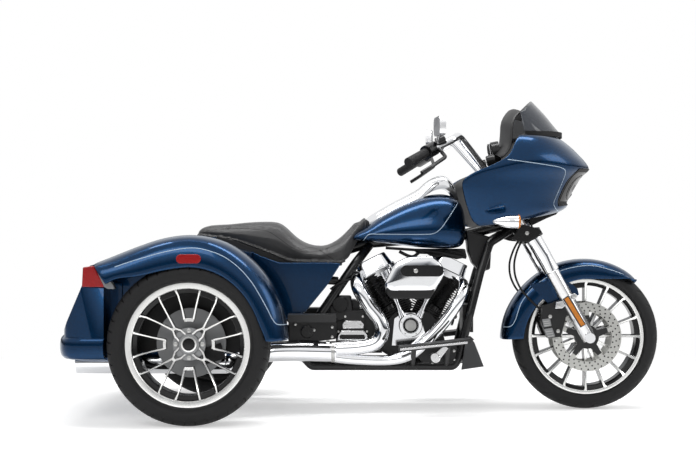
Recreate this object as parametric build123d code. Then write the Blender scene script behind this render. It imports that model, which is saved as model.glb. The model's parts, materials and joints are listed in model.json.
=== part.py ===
from build123d import *
import os
from math import sin, cos, tan, radians, pi

# Motorised trike: one steered front wheel, two driven rear wheels, a V-twin engine in a tubular
# cradle, a fairing fixed to the frame and a hollow luggage body between the rear wheels.
# Millimetres. +X forward, +Y to the rider's left, +Z up; Z = 0 is the ground and X = 0 is the
# middle of the overall length.

# --- running gear -------------------------------------------------------------------------------
wheelbase = 1677
front_axle_x = 967
rear_axle_x = front_axle_x - wheelbase
front_tyre_r = 319
front_tyre_w = 130
front_rim_r = 241
front_flange_r = 256
rear_tyre_r = 325
rear_tyre_w = 215
rear_rim_r = 229
rear_flange_r = 248
rear_track = 1146
rear_wheel_y = rear_track / 2
rim_wall = 7
tyre_fit = 0.3          # gap between a tyre and its rim
run_gap = 0.4           # running gap between a wheel's hub and what carries it
seat_gap = 0.3          # gap round soft and trimmed pieces
travel_gap = 6          # gap between pieces that move past each other

# --- steering -----------------------------------------------------------------------------------
rake = 26
trail = 100
fork_rake = 29.3
fork_y = 125            # fork leg centre from the middle plane
slider_r = 31
cover_r = 34
fork_tube_r = 24.5
head_r = 34             # frame's steering head
stem_r = 17

# --- body ---------------------------------------------------------------------------------------
fender_y = 695          # outer face of a rear fender
fender_wall = 8
body_y = 440            # side wall of the luggage body, between the wheels
body_corner_y = 640     # rear panel's half width, behind the wheels
panel = 6
tank_half = 165
seat_half = 175
fairing_wall = 6

parts = {}


def side_plate(points, y_low, y_high):
    """Closed outline in X and Z, solid from y_low to y_high."""
    outline = Polyline(*[(x, y_low, z) for x, z in points], close=True)
    return extrude(make_face(outline), y_high - y_low, dir=(0, 1, 0))


def flat_plate(points, z_low, z_high):
    """Closed outline in X and Y, solid from z_low to z_high."""
    outline = Polyline(*[(x, y, z_low) for x, y in points], close=True)
    return extrude(make_face(outline), z_high - z_low, dir=(0, 0, 1))


def block(x_low, x_high, y_low, y_high, z_low, z_high):
    size = (x_high - x_low, y_high - y_low, z_high - z_low)
    centre = ((x_low + x_high) / 2, (y_low + y_high) / 2, (z_low + z_high) / 2)
    return Pos(*centre) * Box(*size)


def face_of(curves):
    """Face inside a closed chain of lines and arcs."""
    return make_face([edge for curve in curves for edge in curve.edges()])


def rod(start, end, radius):
    """Round bar between two points."""
    span = Vector(*end) - Vector(*start)
    return extrude(Plane(origin=start, z_dir=span) * Circle(radius), span.length)


def bent_tube(points, radius, bend):
    """Round tube along straight runs joined by arcs of one bend radius."""
    path = FilletPolyline(*points, radius=bend)
    return sweep(Plane(origin=path @ 0, z_dir=path % 0) * Circle(radius), path=path)


def turned(profile, x, z):
    """Solid of revolution about the line along Y through (x, z); profile is (radius, y)."""
    outline = Polyline(*[(x + r, y, z) for r, y in profile], close=True)
    return revolve(make_face(outline), Axis((x, 0, z), (0, 1, 0)), 360)


def disc(x, z, radius, y_low, y_high, bore=0):
    whole = rod((x, y_low, z), (x, y_high, z), radius)
    if bore:
        whole -= rod((x, y_low - 1, z), (x, y_high + 1, z), bore)
    return whole


def mirrored(solid):
    return mirror(solid, Plane.XZ)


def both(solid):
    """The piece and its mirror image on the other side."""
    return Compound(children=[solid, mirrored(solid)])


def at_fork(along, across, y):
    """Point on a fork leg's frame: along from the axle up the leg, across to the front."""
    a = radians(fork_rake)
    x = front_axle_x - along * sin(a) + across * cos(a)
    z = front_tyre_r + along * cos(a) + across * sin(a)
    return (x, y, z)


def at_head(along, across, y):
    """Point on the steering axis' frame: along from the ground up the axis, across to the front."""
    a = radians(rake)
    x = front_axle_x + trail - along * sin(a) + across * cos(a)
    z = along * cos(a) + across * sin(a)
    return (x, y, z)


# --- front wheel --------------------------------------------------------------------------------
def tyre(x, z, y, radius, width, rim_r, flange_r):
    """Tubeless tyre: tread, shoulders, sidewalls and beads by straight facets."""
    h = width / 2
    bead = rim_r + tyre_fit
    # columns: radius, offset from the tyre's middle as a share of half its width
    outline = [(radius, 0), (radius - 0.03 * width, 0.5), (radius - 0.12 * width, 0.82),
               (radius - 0.27 * width, 1.0), (flange_r + 12, 0.98), (flange_r + 2, 0.84),
               (flange_r + 2, 0.72), (bead, 0.72)]
    near = [(r, y - share * h) for r, share in outline]
    far = [(r, y + share * h) for r, share in reversed(outline[1:])]
    return turned(near + far, x, z)


def rim(x, z, y, width, rim_r, flange_r):
    """Rim barrel with a raised flange at each edge of the tyre's beads."""
    h = width / 2
    drop = rim_r - rim_wall
    seat = 0.72 * h + tyre_fit
    lip = 0.78 * h
    near = [(drop, y - lip), (flange_r, y - lip), (flange_r, y - seat), (rim_r, y - seat),
            (rim_r, y + seat), (flange_r, y + seat), (flange_r, y + lip), (drop, y + lip)]
    return turned(near, x, z)


def spoke(x, z, hub_r, hub_angle, hub_w, rim_r, rim_angle, rim_w, y_low, y_high):
    """Straight spoke between a point on the hub and one on the rim, tapered in width."""
    a = radians(hub_angle)
    b = radians(rim_angle)
    start = Vector(x + hub_r * cos(a), 0, z + hub_r * sin(a))
    end = Vector(x + rim_r * cos(b), 0, z + rim_r * sin(b))
    run = (end - start).normalized()
    side = Vector(run.Z, 0, -run.X)
    corners = [start + side * (hub_w / 2), end + side * (rim_w / 2),
               end - side * (rim_w / 2), start - side * (hub_w / 2)]
    return side_plate([(c.X, c.Z) for c in corners], y_low, y_high)


front_hub_r = 34
front_hub_half = 52
front_axle_r = 12.5
rotor_r = 150
rotor_bore = 108
rotor_t = 5
rotor_y = 74
spoke_half = 18

parts["front_tyre"] = tyre(front_axle_x, front_tyre_r, 0, front_tyre_r, front_tyre_w,
                           front_rim_r, front_flange_r)

front_wheel = rim(front_axle_x, front_tyre_r, 0, front_tyre_w, front_rim_r, front_flange_r)
front_wheel += disc(front_axle_x, front_tyre_r, front_hub_r + 16, -front_hub_half, front_hub_half)
front_wheel += disc(front_axle_x, front_tyre_r, front_hub_r,
                    -rotor_y + rotor_t / 2, rotor_y - rotor_t / 2)
pair_pitch = 45
pair_spread = 20.6      # angle between the two spokes of a pair at the rim
hub_spread = 17
for i in range(8):
    middle = i * pair_pitch + pair_spread / 2
    for s in (-1, 1):
        front_wheel += spoke(front_axle_x, front_tyre_r, front_hub_r + 10, middle + s * hub_spread / 2,
                             11, front_rim_r - 3, middle + s * pair_spread / 2, 9,
                             -spoke_half, spoke_half)
front_wheel -= disc(front_axle_x, front_tyre_r, front_axle_r + run_gap, -rotor_y - 1, rotor_y + 1)
parts["front_wheel"] = front_wheel

rotors = []
for s in (-1, 1):
    y = s * rotor_y
    ring = disc(front_axle_x, front_tyre_r, rotor_r, y - rotor_t / 2, y + rotor_t / 2, rotor_bore)
    carrier = disc(front_axle_x, front_tyre_r, front_hub_r + 18, y - rotor_t / 2, y + rotor_t / 2,
                   front_axle_r + run_gap)
    for i in range(5):
        carrier += spoke(front_axle_x, front_tyre_r, front_hub_r, 18 + 72 * i, 34,
                         rotor_bore + 6, 18 + 72 * i, 16, y - rotor_t / 2, y + rotor_t / 2)
    rotors.append(ring + carrier)
parts["front_rotors"] = Compound(children=rotors)

# --- rear wheels --------------------------------------------------------------------------------
rear_hub_r = 40
rear_axle_r = 16
rear_rotor_r = 141
rear_face_y = rear_wheel_y + 30     # outer face of the spokes
hub_inner_y = rear_wheel_y - 62


def rear_wheel_at(s):
    """Rear wheel with U and V pairs of spokes; s is +1 on the left and -1 on the right."""
    def y_span(a, b):
        return (min(s * a, s * b), max(s * a, s * b))

    low, high = y_span(rear_face_y - 34, rear_face_y)
    wheel = rim(rear_axle_x, rear_tyre_r, s * rear_wheel_y, rear_tyre_w, rear_rim_r, rear_flange_r)
    hub_low, hub_high = y_span(hub_inner_y, rear_face_y + 16)
    wheel += disc(rear_axle_x, rear_tyre_r, rear_hub_r, hub_low, hub_high)
    wheel += disc(rear_axle_x, rear_tyre_r, 66, low, high - 0)
    for quarter in range(4):
        square = 90 * quarter
        for t in (-1, 1):
            wheel += spoke(rear_axle_x, rear_tyre_r, 60, square + t * 14, 13,
                           rear_rim_r - 3, square + t * 12.5, 11, low, high)
            wheel += spoke(rear_axle_x, rear_tyre_r, 60, square + 45 + t * 22, 12,
                           90, square + 45, 12, low, high)
            wheel += spoke(rear_axle_x, rear_tyre_r, 86, square + 45, 13,
                           rear_rim_r - 3, square + 45 + t * 12, 11, low, high)
    bore_low, bore_high = y_span(hub_inner_y - 1, rear_face_y - 20)
    wheel -= disc(rear_axle_x, rear_tyre_r, rear_axle_r + run_gap, bore_low, bore_high)
    return wheel


def rear_rotor_at(s):
    """Brake disc bolted to the inner end of the hub."""
    low = min(s * hub_inner_y, s * (hub_inner_y - 7))
    plate = disc(rear_axle_x, rear_tyre_r, rear_rotor_r, low, low + 7, rear_axle_r + run_gap)
    return plate


for name, s in (("left", 1), ("right", -1)):
    parts[f"rear_tyre_{name}"] = tyre(rear_axle_x, rear_tyre_r, s * rear_wheel_y, rear_tyre_r,
                                      rear_tyre_w, rear_rim_r, rear_flange_r)
    parts[f"rear_wheel_{name}"] = rear_wheel_at(s)
    parts[f"rear_rotor_{name}"] = rear_rotor_at(s)

# --- rear axle ----------------------------------------------------------------------------------
axle_tube_r = 45
diff_r = 95
axle_end_y = hub_inner_y - 8 - 14
rear_axle = rod((rear_axle_x, -axle_end_y, rear_tyre_r), (rear_axle_x, axle_end_y, rear_tyre_r),
                axle_tube_r)
rear_axle += disc(rear_axle_x, rear_tyre_r, diff_r, -70, 70)
stub_y = rear_face_y - 25
rear_axle += rod((rear_axle_x, -stub_y, rear_tyre_r), (rear_axle_x, stub_y, rear_tyre_r), rear_axle_r)
for s in (-1, 1):
    arm = bent_tube([(rear_axle_x, s * 250, rear_tyre_r), (-560, s * 250, 335), (-330, s * 130, 335),
                     (-190, s * 130, 335)], 24, 60)
    rear_axle += arm
parts["rear_axle"] = rear_axle

# --- fork ---------------------------------------------------------------------------------------
leg_top = 700           # along the leg, at the upper clamp
lower_clamp = 505
upper_clamp = 690
clamp_t = 34
seam = 400
legs = []
for s in (-1, 1):
    y = s * fork_y
    leg = rod(at_fork(-8, 0, y), at_fork(seam, 0, y), slider_r)
    leg += rod(at_fork(seam, 0, y), at_fork(lower_clamp - clamp_t / 2, 0, y), cover_r)
    leg += rod(at_fork(lower_clamp - clamp_t / 2, 0, y), at_fork(leg_top, 0, y), fork_tube_r)
    leg -= disc(front_axle_x, front_tyre_r, front_axle_r, y - 50, y + 50)
    legs.append(leg)
parts["fork_legs"] = Compound(children=legs)

front_axle = rod((front_axle_x, -fork_y - 38, front_tyre_r), (front_axle_x, fork_y + 38, front_tyre_r),
                 front_axle_r)
for s in (-1, 1):
    inner = rotor_y + rotor_t / 2 + run_gap
    low = min(s * inner, s * (fork_y - slider_r + 4))
    high = max(s * inner, s * (fork_y - slider_r + 4))
    front_axle += disc(front_axle_x, front_tyre_r, 19, low, high)
    low = min(s * (fork_y + slider_r), s * (fork_y + slider_r + 9))
    front_axle += disc(front_axle_x, front_tyre_r, 22, low, low + 9)
parts["front_axle"] = front_axle - parts["fork_legs"]

clamps = []
for along, reach in ((lower_clamp, 42), (upper_clamp - 22, 38)):
    centre = at_fork(along, 0, 0)
    plane = Plane(origin=centre, x_dir=(0, 1, 0), z_dir=Vector(*at_fork(1, 0, 0)) - Vector(*at_fork(0, 0, 0)))
    slab = extrude(plane * RectangleRounded(2 * fork_y + 2 * reach, 92, 40), clamp_t / 2, both=True)
    clamps.append(slab)
stem_low = (lower_clamp, 0)
clamp_body = clamps[0] + clamps[1]
clamp_body += rod(at_head(815, 0, 0), at_head(1030, 0, 0), stem_r)
for s in (-1, 1):
    hole = rod(at_fork(lower_clamp - 40, 0, s * fork_y), at_fork(leg_top + 20, 0, s * fork_y), fork_tube_r)
    clamp_body -= hole
parts["fork_clamps"] = clamp_body

# --- front fender -------------------------------------------------------------------------------
fender_half = 88
fender_skin = 5
# columns: angle round the wheel, degrees from straight ahead, and radius of the crown
crown = [(48, 334), (70, 338), (90, 339), (115, 342), (140, 349), (160, 362), (182, 372)]


def fender_outline(shift):
    return [(front_axle_x + (r + shift) * cos(radians(a)), front_tyre_r + (r + shift) * sin(radians(a)))
            for a, r in crown]


outer = fender_outline(0)
skirt = [(565 + 60, 309), (744, 426), (770, 484), (835, 467), (896, 488), (922, 562), (965, 573),
         (1173, 569)]
shell = side_plate(outer[::-1][:1] + skirt + outer, -fender_half, fender_half)
cavity = side_plate(fender_outline(-fender_skin)[::-1] + [(1300, 500), (1300, 100), (560, 100)],
                    -fender_half + fender_skin, fender_half - fender_skin)
parts["front_fender"] = shell - cavity

# --- handlebar and controls ---------------------------------------------------------------------
bar_r = 16
bar = bent_tube([(590, 0, 958), (590, -75, 958), (400, -195, 1187), (372, -268, 1168),
                 (262, -330, 1112), (176, -450, 1061)], bar_r, 38)
bar += mirrored(bar)
for s in (-1, 1):
    bar += rod((628, s * 47, 899), (590, s * 47, 958), 20)
parts["handlebar"] = bar - parts["fork_clamps"]

grip_r = 20


def along_grip(t, drop=0):
    """Point on the right grip's line; t runs from its inner end to the bar's end."""
    start = Vector(262, -330, 1112)
    end = Vector(176, -450, 1061)
    run = (end - start).normalized()
    p = start + run * t
    return (p.X, p.Y, p.Z - drop)


grip = rod(along_grip(22), along_grip(157), grip_r) - rod(along_grip(0), along_grip(180), bar_r)
grip += rod(along_grip(157), along_grip(163), grip_r)
parts["grips"] = both(grip - parts["handlebar"])
cluster = rod(along_grip(-48), along_grip(20), 30) - parts["handlebar"]
cluster += rod((300, -310, 1150), (330, -300, 1165), 20) - parts["handlebar"]
cluster += bent_tube([(306, -306, 1128), (330, -400, 1085), (265, -480, 1040), (225, -505, 1015)], 8, 30)
parts["bar_controls"] = both(cluster - parts["handlebar"])
mirror_arm = rod((300, -330, 1150), (306, -385, 1195), 7) - cluster
mirror_face = Plane(origin=(306, -395, 1212), x_dir=(0, 1, 0), z_dir=(1, 0.1, 0)) * RectangleRounded(165, 78, 30)
mirror_head = extrude(mirror_face, 13, both=True)
parts["mirrors"] = both(mirror_head + mirror_arm - cluster)

# --- front brakes -------------------------------------------------------------------------------
calipers = []
for s in (-1, 1):
    y0 = rotor_y - 24
    y1 = fork_y - 6
    outline = [(768, 455), (842, 482), (872, 440), (866, 392), (846, 322), (790, 316), (762, 387)]
    body = side_plate(outline, min(s * 66, s * (fork_y - 4)), max(s * 66, s * (fork_y - 4)))
    slot = disc(front_axle_x, front_tyre_r, rotor_r + 4, s * rotor_y - 5, s * rotor_y + 5)
    lug = rod((850, s * 100, 425), (905, s * (fork_y - 20), 425), 14)
    calipers.append(body - slot + lug)
caliper_pair = Compound(children=[c - parts["fork_legs"] - parts["front_fender"] for c in calipers])
parts["front_calipers"] = caliper_pair

# --- frame --------------------------------------------------------------------------------------
backbone_r = 24
tube_r = 19
head_low = at_head(866, 0, 0)
head_high = at_head(968, 0, 0)
head_tube = rod(head_low, head_high, head_r)
head_bore = rod(at_head(800, 0, 0), at_head(1060, 0, 0), stem_r + run_gap)
backbone = bent_tube([at_head(915, 0, 0), (430, 0, 762), (10, 0, 728), (-300, 0, 628)], backbone_r, 150)
backbone += head_tube
backbone -= head_bore
parts["frame_backbone"] = backbone
rail_y = 118
rail_z = 190
down = []
for s in (-1, 1):
    leg = bent_tube([at_head(896, -20, s * 26), at_head(884, -150, s * 62), (500, s * 90, 600),
                     (452, s * rail_y, 420), (405, s * rail_y, 230)], tube_r, 45)
    down.append(leg)
downtubes = down[0] + down[1] + rod((480, -90, 520), (480, 90, 520), 12)
parts["frame_downtubes"] = downtubes - parts["frame_backbone"]
rails = []
for s in (-1, 1):
    rails.append(bent_tube([(405, s * rail_y, 230), (382, s * rail_y, 196), (-230, s * rail_y, 196),
                            (-330, s * rail_y, 300)], tube_r, 25))
rail_pair = rails[0] + rails[1]
for x in (330, -150):
    rail_pair += rod((x, -rail_y, 196), (x, rail_y, 196), 14)
parts["frame_rails"] = rail_pair - parts["frame_downtubes"]
posts = []
for s in (-1, 1):
    posts.append(bent_tube([(20, s * 18, 716), (-40, s * 90, 640), (-190, s * rail_y, 420),
                            (-260, s * rail_y, 240)], tube_r, 60))
    posts.append(rod((-120, s * 85, 560), (-600, s * 200, 600), 16))
post_set = posts[0]
for p in posts[1:]:
    post_set += p
post_set += rod((-600, -200, 600), (-600, 200, 600), 16)
parts["frame_posts"] = post_set - parts["frame_backbone"] - parts["frame_rails"]
parts["rear_axle"] = parts["rear_axle"] - parts["frame_posts"] - parts["frame_rails"]

# --- engine -------------------------------------------------------------------------------------
crank_x = 205
crank_z = 285
bank = 26               # each cylinder's lean from upright
bore_half = 62
fin_half = 80
fin_t = 3.5
fin_pitch = 10
barrel_low = 128
barrel_high = 330
rocker_high = 415


def on_bank(side, along, across, y):
    """Point on a cylinder's line; side is +1 for the front cylinder and -1 for the rear one."""
    a = radians(bank)
    x = crank_x + side * (along * sin(a) + across * cos(a))
    z = crank_z + along * cos(a) - across * sin(a)
    return (x, y, z)


def bank_plane(side, along):
    z_dir = Vector(*on_bank(side, 1, 0, 0)) - Vector(*on_bank(side, 0, 0, 0))
    return Plane(origin=on_bank(side, along, 0, 0), x_dir=(0, 1, 0), z_dir=z_dir)


def cylinder(side):
    core = extrude(bank_plane(side, barrel_low) * Circle(bore_half), barrel_high - barrel_low)
    step = barrel_low + 14
    while step < barrel_high - fin_t:
        wide = fin_half if step < 250 else fin_half + 6
        core += extrude(bank_plane(side, step) * RectangleRounded(2 * wide, 2 * wide, 22), fin_t)
        step += fin_pitch
    reach = 400
    other_side = block(crank_x - reach, crank_x, -reach, reach, 0, 900)
    if side < 0:
        other_side = block(crank_x, crank_x + reach, -reach, reach, 0, 900)
    return core - other_side


def rocker_cover(side):
    base = extrude(bank_plane(side, barrel_high) * RectangleRounded(176, 176, 40), 30)
    top = extrude(bank_plane(side, barrel_high + 30) * RectangleRounded(166, 160, 38),
                  rocker_high - barrel_high - 30, taper=12)
    return base + top


crankcase = side_plate([(75, 255), (118, 230), (330, 230), (350, 290), (330, 375), (275, 428),
                        (135, 428), (80, 372)], -92, 92)
for side in (-1, 1):
    crankcase += extrude(bank_plane(side, 95) * RectangleRounded(150, 150, 30), barrel_low - 95)
cylinder_front = cylinder(1) - crankcase
cylinder_rear = cylinder(-1) - cylinder_front - crankcase
parts["crankcase"] = crankcase
parts["cylinder_front"] = cylinder_front
parts["cylinder_rear"] = cylinder_rear
parts["rocker_covers"] = Compound(children=[rocker_cover(-1), rocker_cover(1)])

cam_x = 197
cam_z = 372
cam_cover = side_plate([(116, 284), (251, 284), (262, 330), (240, 400), (215, 425), (165, 425), (127, 400)],
                       -112, -92)
cam_cover += disc(cam_x, cam_z, 50, -128, -112)
parts["cam_cover"] = cam_cover
rods = []
for side in (-1, 1):
    for across in (-18, 18):
        foot = (cam_x + side * 40 + across * 0.6, -104, 424)
        head = on_bank(side, barrel_high + 6, across - 30, -104)
        rods.append(rod(foot, head, 9) - parts["rocker_covers"] - cylinder_front - cylinder_rear)
pushrods = Compound(children=rods)

gearbox = side_plate([(-125, 250), (74, 250), (74, 420), (20, 442), (-95, 442), (-130, 400)], -88, 92)
gearbox += side_plate([(-104, 312), (3, 312), (-5, 376), (-5, 436), (-83, 436), (-95, 376)], -118, -88)
gearbox += disc(-52, 450, 30, -80, 60)
parts["gearbox"] = gearbox - parts["frame_posts"] - crankcase - cylinder_rear
primary = side_plate([(-120, 262), (330, 262), (360, 300), (345, 380), (300, 420), (-60, 420), (-125, 370)],
                     92, 165)
parts["primary_cover"] = primary

cleaner = side_plate([(83, 560), (124, 641), (178, 668), (280, 674), (310, 652), (340, 606), (289, 520),
                      (270, 494), (110, 494), (87, 520)], -262, -205)
throat = rod((210, -205, 575), (210, -70, 575), 44)
throat -= cylinder_front
throat -= cylinder_rear
parts["air_cleaner"] = cleaner + throat - parts["rocker_covers"]

# --- exhaust ------------------------------------------------------------------------------------
header_r = 24
shield_r = 29
pipe_y = -172
rear_port = on_bank(-1, 300, 70, -100)
head_rear = bent_tube([(-10, -60, 575), (-18, -140, 560), (20, pipe_y, 480), (78, pipe_y, 385), (60, pipe_y, 300),
                       (-20, pipe_y, 262), (-120, pipe_y, 250)], header_r, 40)
head_front = bent_tube([(405, -60, 560), (430, -135, 540), (390, pipe_y, 455), (270, pipe_y, 315), (180, pipe_y, 240),
                        (60, pipe_y, 225), (-60, pipe_y, 233)], header_r, 60)
collector = rod((-50, pipe_y, 243), (-160, pipe_y, 243), 38)
headers = head_front + head_rear + collector
headers -= cylinder_front
headers -= cylinder_rear
headers -= crankcase
headers -= parts["rocker_covers"]
parts["exhaust_headers"] = headers - parts["gearbox"] - parts["frame_rails"] - parts["frame_downtubes"]
muffler_r = 46
tip_x = -1196
pipes = {}
for name, s in (("right", -1), ("left", 1)):
    muffler_y = s * 385
    route = [(-160, pipe_y, 243), (-300, pipe_y - 30, 240), (-420, muffler_y, 235), (-560, muffler_y, 235)]
    if s > 0:
        route = [(-145, -110, 205), (-200, 60, 205), (-300, 200, 220), (-420, muffler_y, 235),
                 (-560, muffler_y, 235)]
    pipe = bent_tube(route, 30, 60)
    can = rod((-560, muffler_y, 235), (tip_x, muffler_y, 235), muffler_r)
    can -= rod((tip_x + 90, muffler_y, 235), (tip_x - 1, muffler_y, 235), muffler_r - 4)
    pipes[name] = pipe + can
parts["muffler_right"] = pipes["right"] - parts["exhaust_headers"] - parts["rear_axle"]
parts["muffler_left"] = (pipes["left"] - parts["exhaust_headers"] - parts["frame_rails"]
                         - parts["rear_axle"] - parts["frame_posts"])

# --- tank and seat ------------------------------------------------------------------------------
tunnel_half = 42
# columns: place along the tank, half width, underside, top
tank_rows = [(-40, 60, 742, 764), (60, 118, 731, 838), (200, 155, 712, 912), (330, tank_half, 702, 943),
             (405, 140, 706, 918), (438, 85, 745, 850)]
sections = []
for x, half, low, high in tank_rows:
    corner = 0.42 * min(high - low, 2 * half)
    face = Plane(origin=(x, 0, (low + high) / 2), x_dir=(0, 1, 0), z_dir=(1, 0, 0))
    sections.append(face * RectangleRounded(2 * half, high - low, corner))
tank = loft(sections)
tank -= side_plate([(-60, 640), (-60, 757), (460, 792), (460, 640)], -tunnel_half, tunnel_half)
tank += rod((380, -tunnel_half - 3, 757), (380, tunnel_half + 3, 757), 8)
tank -= parts["frame_backbone"]
tank -= parts["frame_downtubes"]
parts["fuel_tank"] = tank - parts["rocker_covers"]
console = side_plate([(4, 828), (67, 868), (232, 955), (256, 990), (320, 1022), (347, 1022), (400, 968),
                      (410, 912), (330, 900), (100, 820), (10, 780)], -62, 62)
parts["tank_console"] = console - parts["fuel_tank"]

seat_side = [(-748, 735), (-748, 772), (-715, 798), (-613, 812), (-503, 820), (-415, 814), (-380, 792),
             (-335, 747), (-284, 718), (-237, 706), (-188, 712), (-131, 746), (-70, 803), (-20, 842),
             (4, 838), (0, 815), (-45, 766), (-54, 700), (-98, 655), (-147, 645), (-366, 645), (-443, 672),
             (-527, 716)]
seat_body = side_plate(seat_side, -seat_half, seat_half)
seat_plan = flat_plate([(-760, -95), (-700, -145), (-420, -158), (-250, -seat_half), (-120, -150), (-40, -80),
                        (20, -55), (20, 55), (-40, 80), (-120, 150), (-250, seat_half), (-420, 158),
                        (-700, 145), (-760, 95)], 600, 900)
seat_body = seat_body & seat_plan
for near in ("fuel_tank", "frame_backbone", "frame_posts", "tank_console"):
    seat_body -= parts[near]
parts["seat"] = seat_body

# --- rear body ----------------------------------------------------------------------------------
trunk_half = 300
trunk_low = 400
shell_side = [(-1100, 640), (-1138, 545), (-1215, 382), (-1215, 268), (-1045, 268), (-1045, trunk_low - panel),
              (-600, trunk_low - panel), (-480, 560), (-480, 690), (-640, 728), (-780, 728)]
hull = side_plate(shell_side, -body_corner_y, body_corner_y)
plan = flat_plate([(-480, -body_y), (-1045, -body_y), (-1045, -body_corner_y), (-1140, -body_corner_y),
                   (-1200, -600), (-1230, -540), (-1230, 540), (-1200, 600), (-1140, body_corner_y),
                   (-1045, body_corner_y), (-1045, body_y), (-480, body_y)], 200, 900)
hull = hull & plan
hull -= side_plate([(-1092, 640 - 20), (-1125, 550), (-1185, 420), (-1185, trunk_low), (-790, trunk_low),
                    (-790, 760), (-1000, 760)], -trunk_half, trunk_half)
hull -= side_plate([(-784, 300), (-784, 700), (-640, 700), (-500, 668), (-500, 566), (-598, 420), (-598, 300)],
                   -body_y + panel, body_y - panel)
hull -= parts["rear_axle"]
hull -= parts["muffler_right"]
hull -= parts["muffler_left"]
hull -= parts["frame_posts"]
parts["rear_body"] = hull - parts["seat"]
lid_hinge_x = -788
lid_hinge_z = 748
lid_front = (-788, 728.5)
lid_back = (-1104, 641.5)
lid_t = 12
knuckle_r = 8
pin_r = 4
lid = side_plate([lid_front, (lid_front[0], lid_front[1] + lid_t), (lid_back[0], lid_back[1] + lid_t), lid_back],
                 -trunk_half - 12, trunk_half + 12)
lid_knuckle = disc(lid_hinge_x, lid_hinge_z, knuckle_r, -200, -150)
lid_knuckle += block(lid_hinge_x - 20, lid_hinge_x - 2, -200, -150, 728, lid_hinge_z)
lid += lid_knuckle + mirrored(lid_knuckle)
body_knuckle = disc(lid_hinge_x, lid_hinge_z, knuckle_r, -230, -200.5)
body_knuckle += rod((lid_hinge_x, -201, lid_hinge_z), (lid_hinge_x, -152, lid_hinge_z), pin_r)
body_knuckle += block(lid_hinge_x + 2, lid_hinge_x + 14, -230, -200.5, 715, lid_hinge_z)
for y in (-231, 150):
    lid -= disc(lid_hinge_x, lid_hinge_z, pin_r + 0.05, y, y + 81)
    notch = -231 if y < 0 else 199.5
    lid -= disc(lid_hinge_x, lid_hinge_z, knuckle_r + 2, notch, notch + 31.5)
parts["rear_body"] = parts["rear_body"] + body_knuckle + mirrored(body_knuckle)
parts["rear_body"] = parts["rear_body"] - parts["seat"]
parts["trunk_lid"] = lid

# --- rear fenders -------------------------------------------------------------------------------
arch_r = 310
fender_tail = (-1092, 645)
fender_crest = (-735, 763)
fender_haunch = (-368, 556)
fender_toe = (-307, 339)
toe_back_x = rear_axle_x + arch_r


def fender_crown(shift):
    """Top line of the fender from tail to toe, moved inwards by shift."""
    tail = (fender_tail[0] + shift, 0, fender_tail[1] - shift)
    rise = ThreePointArc(tail, (-915, 0, 719 - shift), (fender_crest[0], 0, fender_crest[1] - shift))
    fall = ThreePointArc((fender_crest[0], 0, fender_crest[1] - shift), (-510 - 0.6 * shift, 0, 706 - 0.8 * shift),
                         (fender_haunch[0] - shift, 0, fender_haunch[1] - 0.3 * shift))
    drop = ThreePointArc((fender_haunch[0] - shift, 0, fender_haunch[1] - 0.3 * shift), (-320 - shift, 0, 440),
                         (fender_toe[0] - shift, 0, fender_toe[1]))
    return [rise, fall, drop]


arch_lift = 593
arch_back_x = -868
lip = [Line((fender_toe[0], 0, fender_toe[1]), (toe_back_x, 0, fender_toe[1])),
       ThreePointArc((toe_back_x, 0, fender_toe[1]),
                     (rear_axle_x + arch_r * cos(radians(60)), 0, rear_tyre_r + arch_r * sin(radians(60))),
                     (rear_axle_x, 0, rear_tyre_r + arch_r)),
       ThreePointArc((rear_axle_x, 0, rear_tyre_r + arch_r), (-800, 0, 619), (arch_back_x, 0, arch_lift + 4)),
       Polyline((arch_back_x, 0, arch_lift + 4), (-985, 0, 584), (-1050, 0, 605),
                (fender_tail[0], 0, fender_tail[1]))]
skin = extrude(Pos(0, -fender_y, 0) * face_of(fender_crown(0) + lip), fender_y - body_y, dir=(0, 1, 0))
inside = (fender_crown(fender_wall)
          + [Polyline((fender_toe[0] - fender_wall, 0, fender_toe[1]), (-330, 0, 200), (-1084, 0, 200),
                      (fender_tail[0] + fender_wall, 0, fender_tail[1] - fender_wall))])
hollow = extrude(Pos(0, -fender_y + fender_wall, 0) * face_of(inside),
                 fender_y - body_y - 2 * fender_wall, dir=(0, 1, 0))
fender_right = skin - hollow

lamp = side_plate([(-1126, 634), (-1083, 640), (-1036, 555), (-1130, 556)], -652, -545)
parts["taillights"] = both(lamp)
fender_right -= lamp
parts["rear_body"] = parts["rear_body"] - lamp - mirrored(lamp)
fender_right -= parts["rear_body"]
parts["fender_rear_right"] = fender_right
parts["fender_rear_left"] = mirrored(fender_right)
marker = Plane(origin=(-702, -fender_y - 4, 668), x_dir=(1, 0, 0), z_dir=(0, 1, 0)) * SlotOverall(98, 36)
marker_body = extrude(marker, 10) - fender_right
parts["side_markers"] = both(marker_body)

# --- rear bumper and plate bracket ------------------------------------------------------------------
bumper_bow = -1286
arc = ThreePointArc((-1226, -590, 268), (bumper_bow, 0, 268), (-1226, 590, 268))
bumper_outline = [arc, Polyline((-1226, 590, 268), (-1208, 600, 268), (-1208, -600, 268), (-1226, -590, 268))]
bumper = extrude(face_of(bumper_outline), 84, dir=(0, 0, 1))
parts["rear_bumper"] = bumper - parts["rear_body"] - parts["muffler_right"] - parts["muffler_left"]
plate_hole_y = 73
plate_hole_z = 35
plate_z = 455
bracket = side_plate([(-1218, plate_z - 54), (-1218, plate_z + 54), (-1152, plate_z + 54), (-1202, plate_z - 54)],
                     -92, 92)
for dy in (-1, 1):
    for dz in (-1, 1):
        bracket -= rod((-1230, dy * plate_hole_y, plate_z + dz * plate_hole_z),
                       (-1196, dy * plate_hole_y, plate_z + dz * plate_hole_z), 3.25)
parts["plate_bracket"] = bracket - parts["rear_body"]

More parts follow.
